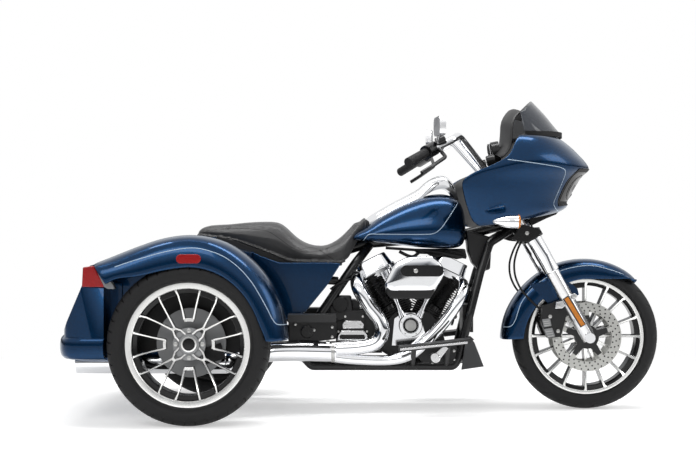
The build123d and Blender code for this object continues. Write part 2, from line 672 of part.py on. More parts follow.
# --- side covers ----------------------------------------------------------------------------------
cover_y = 215
cover = side_plate([(-480, 690), (-445, 672), (-366, 644), (-147, 644), (-104, 640), (-165, 545), (-255, 435),
                    (-330, 405), (-480, 405)], -cover_y, -cover_y + panel)
for near in ("frame_posts", "rear_body", "seat"):
    cover -= parts[near]
parts["side_covers"] = both(cover)

# --- fairing --------------------------------------------------------------------------------------
# columns: height, x of the rear edge, x of the nose, half width
fairing_rows = [(790, 468, 790, 322), (880, 415, 870, 375), (960, 396, 930, 398), (1045, 505, 985, 396),
                (1115, 602, 915, 365), (1185, 640, 858, 300)]


def fairing_section(z, rear, nose, half, shrink):
    front = nose - shrink
    wide = half - shrink
    knee = rear + 0.42 * (front - rear)
    edge = ThreePointArc((knee, -wide, z), (front, 0, z), (knee, wide, z))
    back = Polyline((knee, wide, z), (rear, wide - 6, z), (rear, -wide + 6, z), (knee, -wide, z))
    return face_of([edge, back])


def fairing_solid(shrink):
    return loft([fairing_section(z, rear, nose, half, shrink) for z, rear, nose, half in fairing_rows], ruled=True)


fairing = fairing_solid(0) - fairing_solid(fairing_wall)
lip_line = [(430, 795), (644, 806), (755, 836), (829, 880), (900, 893)]
fairing -= side_plate(lip_line + [(1000, 893), (1000, 700), (430, 700)], -500, 500)
lens_zone = side_plate([(1000, 1032), (820, 1032), (780, 908), (1000, 908)], -235, 235)
parts["headlights"] = (fairing & lens_zone)
parts["fairing"] = fairing - lens_zone
inner_zone = side_plate([(700, 1010), (596, 1180), (600, 1262), (618, 1294), (642, 1290), (700, 1225), (790, 1190),
                         (820, 1100), (800, 1010)], -190, 190)
inner_core = side_plate([(712, 1004), (640, 1150), (690, 1190), (760, 1160), (790, 1004)], -180, 180)
dash = inner_zone - inner_core
dash += (block(700, 714, -420, 420, 1030, 1130) & fairing_solid(fairing_wall)) - inner_zone
parts["dash"] = dash - parts["fairing"]
carrier_side = [at_head(870, 28, 0), at_head(870, 120, 0), (905, 0, 880), (905, 0, 960), at_head(960, 118, 0),
                at_head(960, 28, 0)]
carrier = side_plate([(p[0], p[2]) for p in carrier_side], -45, 45)
carrier = carrier & fairing_solid(fairing_wall)
parts["fairing_bracket"] = carrier - parts["frame_backbone"]

# --- windscreen -----------------------------------------------------------------------------------
screen_t = 4
base = (862, 1197)
tip = (725, 1352)
rise = Vector(tip[0] - base[0], 0, tip[1] - base[1])
screen_half = 240
screen_depth = 85
sill = 18
start = Vector(base[0], 0, base[1]) - rise.normalized() * sill
low = Plane(origin=start, x_dir=(0, 1, 0), z_dir=rise)
front_arc = ThreePointArc((-screen_half, screen_depth), (0, 0), (screen_half, screen_depth))
back_arc = ThreePointArc((screen_half, screen_depth + screen_t + 1), (0, screen_t),
                         (-screen_half, screen_depth + screen_t + 1))
side_a = Line((screen_half, screen_depth), (screen_half, screen_depth + screen_t + 1))
side_b = Line((-screen_half, screen_depth), (-screen_half, screen_depth + screen_t + 1))
sheet = extrude(low * face_of([front_arc, side_a, back_arc, side_b]), rise.length + sill)
sheet -= side_plate([(560, 1240), (640, 1400), (760, 1400), (722, 1356)], -300, 300)
for near in ("fairing", "headlights", "dash"):
    sheet -= parts[near]
parts["windscreen"] = sheet

# --- front turn signals -----------------------------------------------------------------------------
signal_y = 405
signal_z = 818
signal_r = 27
signal = rod((522, -signal_y, signal_z), (640, -signal_y, signal_z), signal_r)
signal += rod((580, -signal_y, signal_z), (580, -300, signal_z), 11)
parts["turn_signals"] = both(signal - fairing_solid(0))

# --- footboards and foot controls ---------------------------------------------------------------------
board_in = 232
board_out = 345
board = side_plate([(139, 272), (430, 306), (452, 326), (444, 334), (425, 326), (140, 292)], -board_out, -board_in)
board += rod((205, -rail_y, rail_z + 6), (205, -board_in - 30, 285), 11)
board += rod((350, -rail_y, rail_z + 6), (350, -board_in - 30, 296), 11)
board -= parts["frame_rails"]
board -= parts["exhaust_headers"]
parts["footboards"] = both(board)
step_board = block(-326, -124, -345, -235, 398, 429)
step_board += rod((-205, -rail_y, 408), (-205, -240, 412), 12)
step_board -= parts["frame_posts"]
step_board -= cover
step_board -= parts["exhaust_headers"]
parts["passenger_footboards"] = both(step_board)
pedal_right = disc(291, 248, 17, -305, -225)
pedal_right += side_plate([(285, 240), (300, 236), (352, 282), (340, 296)], -250, -240)
pedal_right -= parts["footboards"]
parts["brake_pedal"] = pedal_right - parts["exhaust_headers"]
lever = side_plate([(392, 352), (404, 352), (414, 398), (300, 405), (300, 395), (400, 388)], 200, 210)
lever += rod((410, 205, 392), (410, 290, 392), 12)
lever += rod((304, 205, 400), (304, 160, 400), 9)
lever -= parts["primary_cover"]
parts["shift_lever"] = lever

# --- front end of the frame: oil cooler and chin ------------------------------------------------------
cooler = block(424, 470, -92, 92, 340, 460)
cooler += rod((447, -118, 400), (447, 118, 400), 8)
parts["oil_cooler"] = cooler - parts["frame_downtubes"]
chin = side_plate([(414, 182), (430, 290), (452, 322), (470, 300), (511, 196)], -150, 150)
chin -= side_plate([(404, 170), (424, 284), (452, 312), (464, 296), (506, 170)], -144, 144)
for near in ("frame_rails", "frame_downtubes", "oil_cooler"):
    chin -= parts[near]
parts["chin_spoiler"] = chin

# --- rear brakes ----------------------------------------------------------------------------------------
rear_calipers = []
for s in (-1, 1):
    in_y = hub_inner_y - 7 - 15
    out_y = hub_inner_y + 14
    low, high = min(s * in_y, s * out_y), max(s * in_y, s * out_y)
    body = side_plate([(-660, 235), (-570, 262), (-590, 325), (-668, 300)], low, high)
    slot = disc(rear_axle_x, rear_tyre_r, rear_rotor_r + 4, min(s * (hub_inner_y - 11), s * (hub_inner_y + 4)),
                max(s * (hub_inner_y - 11), s * (hub_inner_y + 4)))
    arm_low, arm_high = min(s * (in_y - 8), s * in_y), max(s * (in_y - 8), s * in_y)
    arm = side_plate([(-720, 260), (-640, 240), (-600, 275), (-640, 330), (-720, 390)], arm_low, arm_high)
    rear_calipers.append(body - slot + (arm - parts["rear_axle"]))
parts["rear_calipers"] = Compound(children=rear_calipers)

# --- brake hoses ------------------------------------------------------------------------------------------
hose_r = 4.5


def hose(points, radius):
    """Hose along points, each bend as large as its two runs allow."""
    dots = [Vector(*p) for p in points]
    bends = []
    for a, b, c in zip(dots, dots[1:], dots[2:]):
        turn = radians((b - a).get_angle(c - b))
        bends.append(0.45 * min((b - a).length, (c - b).length) / tan(turn / 2))
    path = FilletPolyline(*points, radius=bends)
    print("bend radii", [round(b, 1) for b in bends])
    return sweep(Plane(origin=path @ 0, z_dir=path % 0) * Circle(radius), path=path)


line_right = hose([(692, -60, 752), (664, -72, 700), (646, -92, 640), (650, -104, 580), (676, -106, 524),
                   (716, -100, 480), (760, -94, 440)], hose_r)
line_right = line_right - parts["fork_clamps"] - parts["front_calipers"]
parts["brake_lines"] = both(line_right)
for node, solid in parts.items():
    export_step(solid, f"parts/{node}.step")
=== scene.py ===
import json
from math import copysign, cos, pi, radians, sin, tau

import bmesh
import bpy
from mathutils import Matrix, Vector
from mathutils.bvhtree import BVHTree


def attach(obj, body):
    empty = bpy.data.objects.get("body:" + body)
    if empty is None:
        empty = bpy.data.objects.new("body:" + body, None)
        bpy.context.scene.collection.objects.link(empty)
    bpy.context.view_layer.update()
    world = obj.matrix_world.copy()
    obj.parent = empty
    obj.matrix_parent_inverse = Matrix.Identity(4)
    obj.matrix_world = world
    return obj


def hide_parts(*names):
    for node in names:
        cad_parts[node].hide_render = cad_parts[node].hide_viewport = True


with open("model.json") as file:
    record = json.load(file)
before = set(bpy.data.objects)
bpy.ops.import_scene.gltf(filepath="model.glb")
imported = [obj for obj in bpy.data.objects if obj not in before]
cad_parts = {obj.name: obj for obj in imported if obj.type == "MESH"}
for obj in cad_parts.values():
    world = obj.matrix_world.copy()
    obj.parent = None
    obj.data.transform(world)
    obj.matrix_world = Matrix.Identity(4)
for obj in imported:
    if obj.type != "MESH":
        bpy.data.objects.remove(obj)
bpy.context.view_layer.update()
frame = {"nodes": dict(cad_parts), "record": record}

# ---- Studio ---------------------------------------------------------------------------------------
# A pale seamless floor, a broad soft lamp overhead and two soft side lamps. The camera stands level
# on the trike's right side, a little above the wheels' tops.
MM = 0.001
VIEW_W = 696
CAMERA_BACK = 6500 * MM
CAMERA_X = -74 * MM
CAMERA_HEIGHT = 758 * MM
FOCAL_PX = 1475
HORIZON_DROP_PX = 4
HORIZON_ROW = 236
FLOOR_SIDE = 40
FLOOR_DROP = 0.5 * MM


def linear(code):
    """sRGB hex to a linear colour with alpha 1."""
    out = []
    for i in (0, 2, 4):
        c = int(code[i:i + 2], 16) / 255
        out.append(c / 12.92 if c <= 0.04045 else ((c + 0.055) / 1.055) ** 2.4)
    return (*out, 1.0)


def add(tree, kind, ins=None, **props):
    """Adds a node with its settings; a socket given as an input is linked, anything else is set."""
    node = tree.nodes.new(kind)
    for key, value in props.items():
        setattr(node, key, value)
    for key, value in (ins or {}).items():
        if isinstance(value, bpy.types.NodeSocket):
            tree.links.new(value, node.inputs[key])
        else:
            node.inputs[key].default_value = value
    return node


def surface(name):
    """New material with an output node; returns it and its node tree."""
    mat = bpy.data.materials.new(name)
    mat.use_nodes = True
    mat.node_tree.nodes.clear()
    return mat, mat.node_tree


def shade(tree, ins, bump=None):
    """Principled shader with these inputs, wired to the output."""
    sockets = dict(ins)
    if bump is not None:
        sockets["Normal"] = bump
    bsdf = add(tree, "ShaderNodeBsdfPrincipled", sockets)
    add(tree, "ShaderNodeOutputMaterial", {"Surface": bsdf.outputs["BSDF"]})
    return bsdf


def tone(code, share=1.0, more=0.0):
    """A linear colour made lighter or darker than its sRGB hex code."""
    return [min(1, c * share + more) for c in linear(code)[:3]] + [1]


def two_tone(tree, drive, dark, light):
    """Colour that runs from dark to light as the drive goes from 0 to 1."""
    ramp = add(tree, "ShaderNodeValToRGB", {0: drive})
    ramp.color_ramp.elements[0].color, ramp.color_ramp.elements[1].color = dark, light
    return ramp.outputs[0]


def drift(tree, drive, span):
    """The drive mapped from 0 to 1 onto a span of values."""
    return add(tree, "ShaderNodeMapRange", {0: drive, 3: span[0], 4: span[1]}).outputs[0]


def relief(tree, height, strength, depth):
    """Bump of a strength and a depth in metres."""
    return add(tree, "ShaderNodeBump", {"Height": height, "Strength": strength, "Distance": depth}).outputs[0]


def axle_distance(tree, place, centre):
    """Distance from the axle at (x, z), in metres."""
    apart = add(tree, "ShaderNodeVectorMath", {0: place, 1: (centre[0], 0, centre[1])}, operation="SUBTRACT")
    flat = add(tree, "ShaderNodeVectorMath", {0: apart.outputs[0], 1: (1, 0, 1)}, operation="MULTIPLY")
    return add(tree, "ShaderNodeVectorMath", {0: flat.outputs[0]}, operation="LENGTH").outputs["Value"]


def finish(name, dark, light, clouds, gloss, grain, bump, ins=None, centre=None, pebbled=False):
    """Surface whose tint and roughness drift in clouds (scale, detail) over a relief of fine grain (scale).
    With a centre the grain runs in rings round that axle, and pebbled makes it round cells."""
    mat, tree = surface(name)
    place = add(tree, "ShaderNodeTexCoord").outputs["Object"]
    cloud = add(tree, "ShaderNodeTexNoise", {"Vector": place, "Scale": clouds[0],
                                             "Detail": clouds[1]}).outputs["Fac"]
    if centre:
        marks = add(tree, "ShaderNodeTexNoise", {"W": axle_distance(tree, place, centre), "Scale": grain},
                    noise_dimensions="1D").outputs["Fac"]
    elif pebbled:
        marks = add(tree, "ShaderNodeTexVoronoi", {"Vector": place, "Scale": grain},
                    feature="SMOOTH_F1").outputs["Distance"]
    else:
        marks = add(tree, "ShaderNodeTexNoise", {"Vector": place, "Scale": grain}).outputs["Fac"]
    shade(tree, {"Base Color": two_tone(tree, cloud, dark, light), "Roughness": drift(tree, cloud, gloss),
                 **(ins or {})}, relief(tree, marks, *bump))
    return mat


WHITE = linear("ffffff")
camera_data = bpy.data.cameras.new("camera")
camera_data.sensor_width = 36
camera_data.lens = FOCAL_PX / VIEW_W * camera_data.sensor_width
camera_data.shift_y = HORIZON_DROP_PX / VIEW_W
camera_data.clip_end = 60
camera = bpy.data.objects.new("camera", camera_data)
camera.location = (CAMERA_X, -CAMERA_BACK, CAMERA_HEIGHT)
camera.rotation_euler = (radians(90), 0, 0)
bpy.context.collection.objects.link(camera)
bpy.context.scene.camera = camera
bpy.context.scene.view_settings.view_transform = "Standard"


def placed(name, data):
    """New object with this data, in the scene."""
    obj = bpy.data.objects.new(name, data)
    bpy.context.collection.objects.link(obj)
    return obj


def baked(obj):
    """New mesh of the object with its modifiers applied."""
    return bpy.data.meshes.new_from_object(obj.evaluated_get(bpy.context.evaluated_depsgraph_get()))


def soft_lamp(name, place, aim, size, watts):
    """Rectangular lamp at a place, turned to an aim point; sizes in metres."""
    data = bpy.data.lights.new(name, "AREA")
    data.shape = "RECTANGLE"
    data.size, data.size_y = size
    data.energy = watts
    lamp = placed(name, data)
    lamp.location = place
    lamp.rotation_euler = (Vector(aim) - Vector(place)).to_track_quat("-Z", "Y").to_euler()
    return lamp


soft_lamp("overhead_softbox", (0.0, -0.3, 4.0), (0, 0, 0), (5.0, 0.8), 135)
soft_lamp("near_softbox", (-1.5, -4.5, 3.2), (0, 0, 0.5), (3.0, 1.5), 60)
soft_lamp("front_softbox", (4.5, -1.0, 2.6), (0.4, 0, 0.5), (2.0, 2.0), 40)

world = bpy.data.worlds.new("studio_air")
world.use_nodes = True
bpy.context.scene.world = world
air = world.node_tree
air.nodes.clear()
rays = add(air, "ShaderNodeLightPath")
# a softer grey band above the horizon gives polished metal and clear coat their dark edges
way = add(air, "ShaderNodeTexCoord")
height = add(air, "ShaderNodeSeparateXYZ", {0: way.outputs["Generated"]})
rise = add(air, "ShaderNodeMapRange", {0: height.outputs["Z"], 1: -0.2, 2: 0.8})
band = add(air, "ShaderNodeValToRGB", {0: rise.outputs[0]})
stops = band.color_ramp.elements
stops[0].position, stops[0].color = 0.17, WHITE
stops[1].position, stops[1].color = 0.46, WHITE
for place, code in ((0.19, "2c2d30"), (0.27, "4a4c50"), (0.36, "b9bbbf")):
    stops.new(place).color = linear(code)
fill = add(air, "ShaderNodeBackground", {"Color": WHITE, "Strength": 0.42})
backdrop = add(air, "ShaderNodeBackground", {"Color": WHITE, "Strength": 1.0})
mirrored_room = add(air, "ShaderNodeBackground", {"Color": band.outputs[0], "Strength": 1.0})
clear = add(air, "ShaderNodeMath", {0: rays.outputs["Is Camera Ray"], 1: rays.outputs["Is Transmission Ray"]},
            operation="MAXIMUM")
room = add(air, "ShaderNodeMixShader", {0: rays.outputs["Is Glossy Ray"], 1: fill.outputs[0],
                                        2: mirrored_room.outputs[0]})
sky = add(air, "ShaderNodeMixShader", {0: clear.outputs[0], 1: room.outputs[0], 2: backdrop.outputs[0]})
add(air, "ShaderNodeOutputWorld", {"Surface": sky.outputs[0]})

bpy.ops.mesh.primitive_plane_add(size=FLOOR_SIDE, location=(0, 0, -FLOOR_DROP))
floor = bpy.context.object
floor.name = "studio_floor"
paper, tree = surface("white_studio_paper")
rays = add(tree, "ShaderNodeLightPath")
seen = add(tree, "ShaderNodeMath", {0: rays.outputs["Is Camera Ray"], 1: rays.outputs["Is Glossy Ray"]},
           operation="MAXIMUM")
matt = add(tree, "ShaderNodeBsdfDiffuse", {"Color": linear("f8f8f8")})
lift = add(tree, "ShaderNodeEmission", {"Color": WHITE, "Strength": 0.45})
none = add(tree, "ShaderNodeEmission", {"Color": linear("000000"), "Strength": 0.0})
lifted = add(tree, "ShaderNodeMixShader", {0: seen.outputs[0], 1: none.outputs[0], 2: lift.outputs[0]})
both = add(tree, "ShaderNodeAddShader", {0: matt.outputs[0], 1: lifted.outputs[0]})
# the paper runs up out of sight: away from the trike it reads as plain white
spot = add(tree, "ShaderNodeNewGeometry")
reach = add(tree, "ShaderNodeVectorMath", {0: spot.outputs["Position"]}, operation="LENGTH")
fade = add(tree, "ShaderNodeMapRange", {0: reach.outputs["Value"], 1: 1.7, 2: 3.4})
far_white = add(tree, "ShaderNodeMath", {0: fade.outputs[0], 1: seen.outputs[0]}, operation="MULTIPLY")
plain = add(tree, "ShaderNodeEmission", {"Color": WHITE, "Strength": 1.0})
swept = add(tree, "ShaderNodeMixShader", {0: far_white.outputs[0], 1: both.outputs[0], 2: plain.outputs[0]})
add(tree, "ShaderNodeOutputMaterial", {"Surface": swept.outputs[0]})
floor.data.materials.append(paper)


# ---- Frame and running gear ------------------------------------------------------------------------
# Welded steel tubes, the steering head and the rear axle carrier, powder coated gloss black. The
# coat is thick, a little orange-peeled, and dulls slightly where dust settles.


def powder_coat(name, code, rough):
    """Gloss powder coat: a faint orange peel 2 mm across and uneven gloss."""
    return finish(name, linear(code), tone(code, 1.5, 0.002), (9.0, 3.0), (rough - 0.05, rough + 0.08),
                  1 / (2 * MM), (0.05, 0.2 * MM), {"Specular IOR Level": 0.35})


black_gloss = powder_coat("gloss_black_powder_coat", "0c0c0d", 0.25)


def dress(material, *names):
    """Gives CAD nodes a better material."""
    for name in names:
        node = frame["nodes"][name]
        for place in node.material_slots:
            place.material = material


dress(black_gloss, "frame_backbone", "frame_downtubes", "frame_rails", "frame_posts", "rear_axle",
      "fairing_bracket", "plate_bracket")


# ---- Tyres -----------------------------------------------------------------------------------------
# Tubeless tyres: a rounded motorcycle tyre in front and two flat car-like ones behind, of black
# vulcanised rubber over steel-braced carcasses. Their beads are held by air against the rim flanges.
FRONT_AXLE = (967 * MM, 319 * MM)
REAR_AXLE = (-710 * MM, 325 * MM)
REAR_WHEEL_Y = 573 * MM
BODY_OF_NODE = {node: body for body, nodes in frame["record"]["behaviour"]["bodies"].items()
                for node in nodes}


def rubber_finish(name, code):
    """Vulcanised rubber: nearly black, dull, with mould haze in 30 mm clouds and a 1 mm grain."""
    return finish(name, linear(code), tone(code, 1.7), (1 / (30 * MM), 4.0), (0.5, 0.72), 1 / (1 * MM),
                  (0.15, 0.1 * MM), {"Specular IOR Level": 0.3})


tyre_rubber = rubber_finish("vulcanised_tyre_rubber", "0e0e0f")


def smooth_shaded(mesh, sharp):
    """Smooth shading that breaks at edges sharper than this angle (degrees)."""
    for face in mesh.polygons:
        face.use_smooth = True
    mesh.set_sharp_from_angle(angle=radians(sharp))


def piece(name, bm, materials, node=None, body=None, edge=0, sharp=35, smooth=0):
    """Makes a finished object of bm: rounded edges, smooth shading, its body and CAD node."""
    bmesh.ops.remove_doubles(bm, verts=bm.verts, dist=0.01 * MM)
    bmesh.ops.recalc_face_normals(bm, faces=bm.faces)
    mesh = bpy.data.meshes.new(name)
    bm.to_mesh(mesh)
    bm.free()
    for material in materials:
        mesh.materials.append(material)
    obj = placed(name, mesh)
    if smooth:
        levels = obj.modifiers.new("rounded_form", "SUBSURF")
        levels.levels = levels.render_levels = smooth
    if edge:
        bevel = obj.modifiers.new("rounded_edges", "BEVEL")
        bevel.width = edge
        bevel.segments = 2
        bevel.limit_method = "ANGLE"
        bevel.angle_limit = radians(sharp)
        bevel.harden_normals = True
    smooth_shaded(mesh, sharp)
    nodes = [node] if isinstance(node, str) else list(node or [])
    if nodes:
        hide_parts(*nodes)
    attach(obj, body or BODY_OF_NODE[nodes[0]])
    return obj


def lathe(bm, profile, x, z, steps=96, closed=True, angle_of=None, radius_of=None):
    """Adds the ring that a profile of (radius, y, material index) sweeps round the axle at (x, z)."""
    rings = []
    for i in range(steps):
        ring = []
        for j, (radius, y, *_) in enumerate(profile):
            turn = angle_of(i, j) if angle_of else tau * i / steps
            reach = radius_of(i, j) if radius_of else radius
            ring.append(bm.verts.new((x + reach * cos(turn), y, z + reach * sin(turn))))
        rings.append(ring)
    count = len(profile)
    for i in range(steps):
        one, two = rings[i], rings[(i + 1) % steps]
        for j in range(count if closed else count - 1):
            face = bm.faces.new((one[j], one[(j + 1) % count], two[(j + 1) % count], two[j]))
            face.material_index = profile[j][2] if len(profile[j]) > 2 else 0
    return rings


# columns: radius, offset from the tyre's middle plane, tread depth there (mm); one half, out from the crown
FRONT_HALF = [(319, 0, 0), (318.7, 5, 0), (318.6, 5.6, 4), (318.4, 9.4, 4), (318.3, 10, 0), (316.6, 22, 0),
              (313.5, 33, 0), (308.5, 43, 0), (301, 52.5, 0), (292, 59.5, 0), (286, 62.4, 0), (278, 64.4, 0),
              (268, 64.6, 0), (266, 63.6, 0), (263, 63.4, 0), (261, 62.4, 0), (259, 60, 0), (257.5, 56, 0),
              (256.5, 51.5, 0), (255.3, 47, 0), (253.5, 43.5, 0), (243, 42, 0)]
REAR_HALF = [(325, 0, 0), (325, 16, 0), (325, 17, 7), (325, 25, 7), (325, 26, 0), (324.2, 52, 0),
             (324, 53, 7), (323.8, 61, 7), (323.6, 62, 0), (321.5, 78, 0), (317.5, 90, 0), (310, 100, 0),
             (300, 105, 0), (285, 107.3, 0), (272, 107, 0), (269, 105.6, 0), (266, 105.8, 0), (263, 104, 0),
             (257, 99, 0), (252.5, 92, 0), (250.5, 85, 0), (250, 81, 0), (247, 77.5, 0), (240, 76, 0)]
# one pitch of the tread, as shares of the pitch: groove walls and floor
PITCH_STEPS = ((0.0, 0), (0.22, 0), (0.42, 0), (0.45, 1), (0.55, 1), (0.58, 0), (0.78, 0))


def tyre(name, half, middle, axle, pitches, slant, sipes, node):
    """Tyre with grooves round it and slanted cuts across its shoulders, each PITCH_STEPS long."""
    both = [(r, -y, d) for r, y, d in reversed(half[1:])] + list(half)
    profile = [(r * MM, middle + y * MM) for r, y, d in both]
    per = len(PITCH_STEPS)

    def radius_of(i, j):
        """Radius of one point: the section less its groove or its cut."""
        r, y, depth = both[j]
        cut = PITCH_STEPS[i % per][1] and sipes[0] <= abs(y) <= sipes[1] and r > 0.9 * half[0][0]
        return (r - max(depth, sipes[2] if cut else 0)) * MM

    def angle_of(i, j):
        """Angle of one point: the cuts lean over the shoulders and the two sides are half a pitch apart."""
        y = both[j][1]
        lean = slant * max(0, min(abs(y), sipes[1]) - sipes[0]) / half[0][0]
        if y > 0:
            lean += pi / pitches
        return tau * (i // per + PITCH_STEPS[i % per][0]) / pitches + lean

    bm = bmesh.new()
    lathe(bm, profile, *axle, steps=pitches * per, angle_of=angle_of, radius_of=radius_of)
    return piece(name, bm, [tyre_rubber], node, sharp=28)


tyre("front_tyre_treaded", FRONT_HALF, 0, FRONT_AXLE, 26, 1.1, (20, 53, 3.5), "front_tyre")
for side, sign in (("left", 1), ("right", -1)):
    tyre(f"rear_tyre_{side}_treaded", REAR_HALF, sign * REAR_WHEEL_Y, REAR_AXLE, 44, 0.35, (64, 101, 6),
         f"rear_tyre_{side}")


# ---- Front wheel -----------------------------------------------------------------------------------
# Cast aluminium wheel: a drop-centre rim, eight pairs of slim spokes with a thick pad between the
# ends of each pair, and a hub for the discs. Painted gloss black, then the faces are turned bright.


def metal_finish(name, code, rough, grain_mm, bands=0.03, centre=None, spread=0.08):
    """Bare or plated metal: a base colour, uneven gloss, and fine turning or polishing marks."""
    return finish(name, tone(code, 0.86), linear(code), (14.0, 5.0), (max(0.02, rough - spread),
                                                                      rough + spread),
                  1 / (grain_mm * MM), (bands, 0.2 * MM), {"Metallic": 1.0}, centre)


turned_front = metal_finish("turned_aluminium_face_front", "f4f4f2", 0.24, 1.5, 0.10, FRONT_AXLE)
turned_rear = metal_finish("turned_aluminium_face_rear", "f4f4f2", 0.24, 1.5, 0.10, REAR_AXLE)
satin_steel = metal_finish("satin_stainless_steel", "b8b8b6", 0.32, 0.8, 0.08)
disc_steel = metal_finish("ground_disc_steel", "c0c0bc", 0.34, 1.0, 0.20, FRONT_AXLE)
cast_grey = metal_finish("bead_blasted_cast_aluminium", "8e8f90", 0.5, 1.2, 0.25)


def on_circle(centre, radius, turn, y):
    """Point in metres at an angle round a centre (x, z) in metres; radius and y in mm."""
    return (centre[0] + radius * MM * cos(turn), y * MM, centre[1] + radius * MM * sin(turn))


def sector(bm, axle, radii, middle, reach, ys, arc=10):
    """Adds a solid ring sector between two radii and two y values (mm), reaching both ways (degrees)."""
    corners = ((radii[0], ys[0]), (radii[1], ys[0]), (radii[1], ys[1]), (radii[0], ys[1]))
    stations = []
    for k in range(arc + 1):
        turn = radians(middle - reach + 2 * reach * k / arc)
        stations.append([bm.verts.new(on_circle(axle, r, turn, y)) for r, y in corners])
    for one, two in zip(stations, stations[1:]):
        for j in range(4):
            bm.faces.new((one[j], one[(j + 1) % 4], two[(j + 1) % 4], two[j]))
    bm.faces.new(stations[0])
    bm.faces.new(list(reversed(stations[-1])))


SPOKE_CHAMFER = 1.2


def bar(bm, axle, stations, two_faced=True, sign=-1):
    """Adds a spoke through stations of (radius, degrees, half width, face y, back y); faces are bright."""
    rows = []
    places = [(r * cos(radians(a)), r * sin(radians(a))) for r, a, *_ in stations]
    c = SPOKE_CHAMFER
    for k, (_, _, half, face_y, back_y) in enumerate(stations):
        before, after = places[max(0, k - 1)], places[min(len(places) - 1, k + 1)]
        run = Vector((after[0] - before[0], after[1] - before[1])).normalized()
        section = [(-half, face_y - c), (-half + c, face_y), (half - c, face_y), (half, face_y - c)]
        if two_faced:
            section += [(half, back_y + c), (half - c, back_y), (-half + c, back_y), (-half, back_y + c)]
        else:
            section += [(half, back_y), (-half, back_y)]
        rows.append([bm.verts.new((axle[0] + (places[k][0] - run.y * s) * MM, sign * y * MM,
                                   axle[1] + (places[k][1] + run.x * s) * MM)) for s, y in section])
    bright = {0, 1, 2, 4, 5, 6} if two_faced else {0, 1, 2}
    for one, two in zip(rows, rows[1:]):
        count = len(one)
        for j in range(count):
            face = bm.faces.new((one[j], one[(j + 1) % count], two[(j + 1) % count], two[j]))
            face.material_index = 1 if j in bright else 0
    bm.faces.new(rows[0])
    bm.faces.new(list(reversed(rows[-1])))


wheel_black = powder_coat("gloss_black_wheel_paint", "0b0b0c", 0.22)

bm = bmesh.new()
# columns: radius, y, finish (0 black, 1 turned bright); one half of the rim's section, from the outside in
half_rim = [(241, 43, 0), (252, 44.5, 0), (254.5, 47.5, 1), (251, 50.6, 1), (247, 50.7, 1), (238.5, 50.0, 1),
            (236.5, 48.5, 0), (235.5, 40, 0), (224, 33, 0), (222, 30, 0)]
profile = [(r * MM, -y * MM, m) for r, y, m in half_rim]
profile += [(r * MM, y * MM, half_rim[max(0, len(half_rim) - 2 - k)][2])
            for k, (r, y, m) in enumerate(reversed(half_rim))]
lathe(bm, profile, *FRONT_AXLE, steps=160)
piece("front_rim_turned", bm, [wheel_black, turned_front], ["front_wheel"], sharp=30)

PAIR_PITCH = 45
PAIR_SPREAD = 20.6
bm = bmesh.new()
for i in range(8):
    middle = i * PAIR_PITCH + PAIR_SPREAD / 2
    for s in (-1, 1):
        reach = middle + s * PAIR_SPREAD / 2
        # columns: radius, degrees, half width, outer face, inner face
        stations = [(40, middle + s * 9.5, 9, 40, -40), (90, middle + s * 9.9, 6, 33, -33),
                    (150, middle + s * 10.1, 4.6, 32, -32), (205, reach, 4.6, 36, -36),
                    (228, reach, 5.5, 44, -44), (240, reach + s * 0.8, 8, 49.5, -49.5)]
        bar(bm, FRONT_AXLE, stations)
piece("front_wheel_spokes", bm, [wheel_black, turned_front], body="front_wheel", sharp=30)

bm = bmesh.new()
for i in range(8):
    sector(bm, FRONT_AXLE, (213, 240), i * PAIR_PITCH + PAIR_SPREAD / 2, PAIR_SPREAD / 2 - 0.9, (-42, 42))
piece("front_wheel_pads", bm, [wheel_black], body="front_wheel", edge=5 * MM)

bm = bmesh.new()
hub = [(14, -70), (30, -70), (33, -67), (34, -56), (50, -52), (52, -46), (52, -36), (44, -30), (40, 0)]
profile = [(r * MM, y * MM, 0) for r, y in hub]
profile += [(r * MM, -y * MM, 0) for r, y in reversed(hub[:-1])]
lathe(bm, profile, *FRONT_AXLE, steps=64)
piece("front_hub_turned", bm, [wheel_black], body="front_wheel", sharp=30)


# ---- Rear wheels -----------------------------------------------------------------------------------
# Cast aluminium wheels: four U-shaped and four V-shaped pairs of slim spokes on a four-bolt hub, gloss
# black with turned faces. A plain pressed cap covers the axle nut, and the wheel studs show round it.


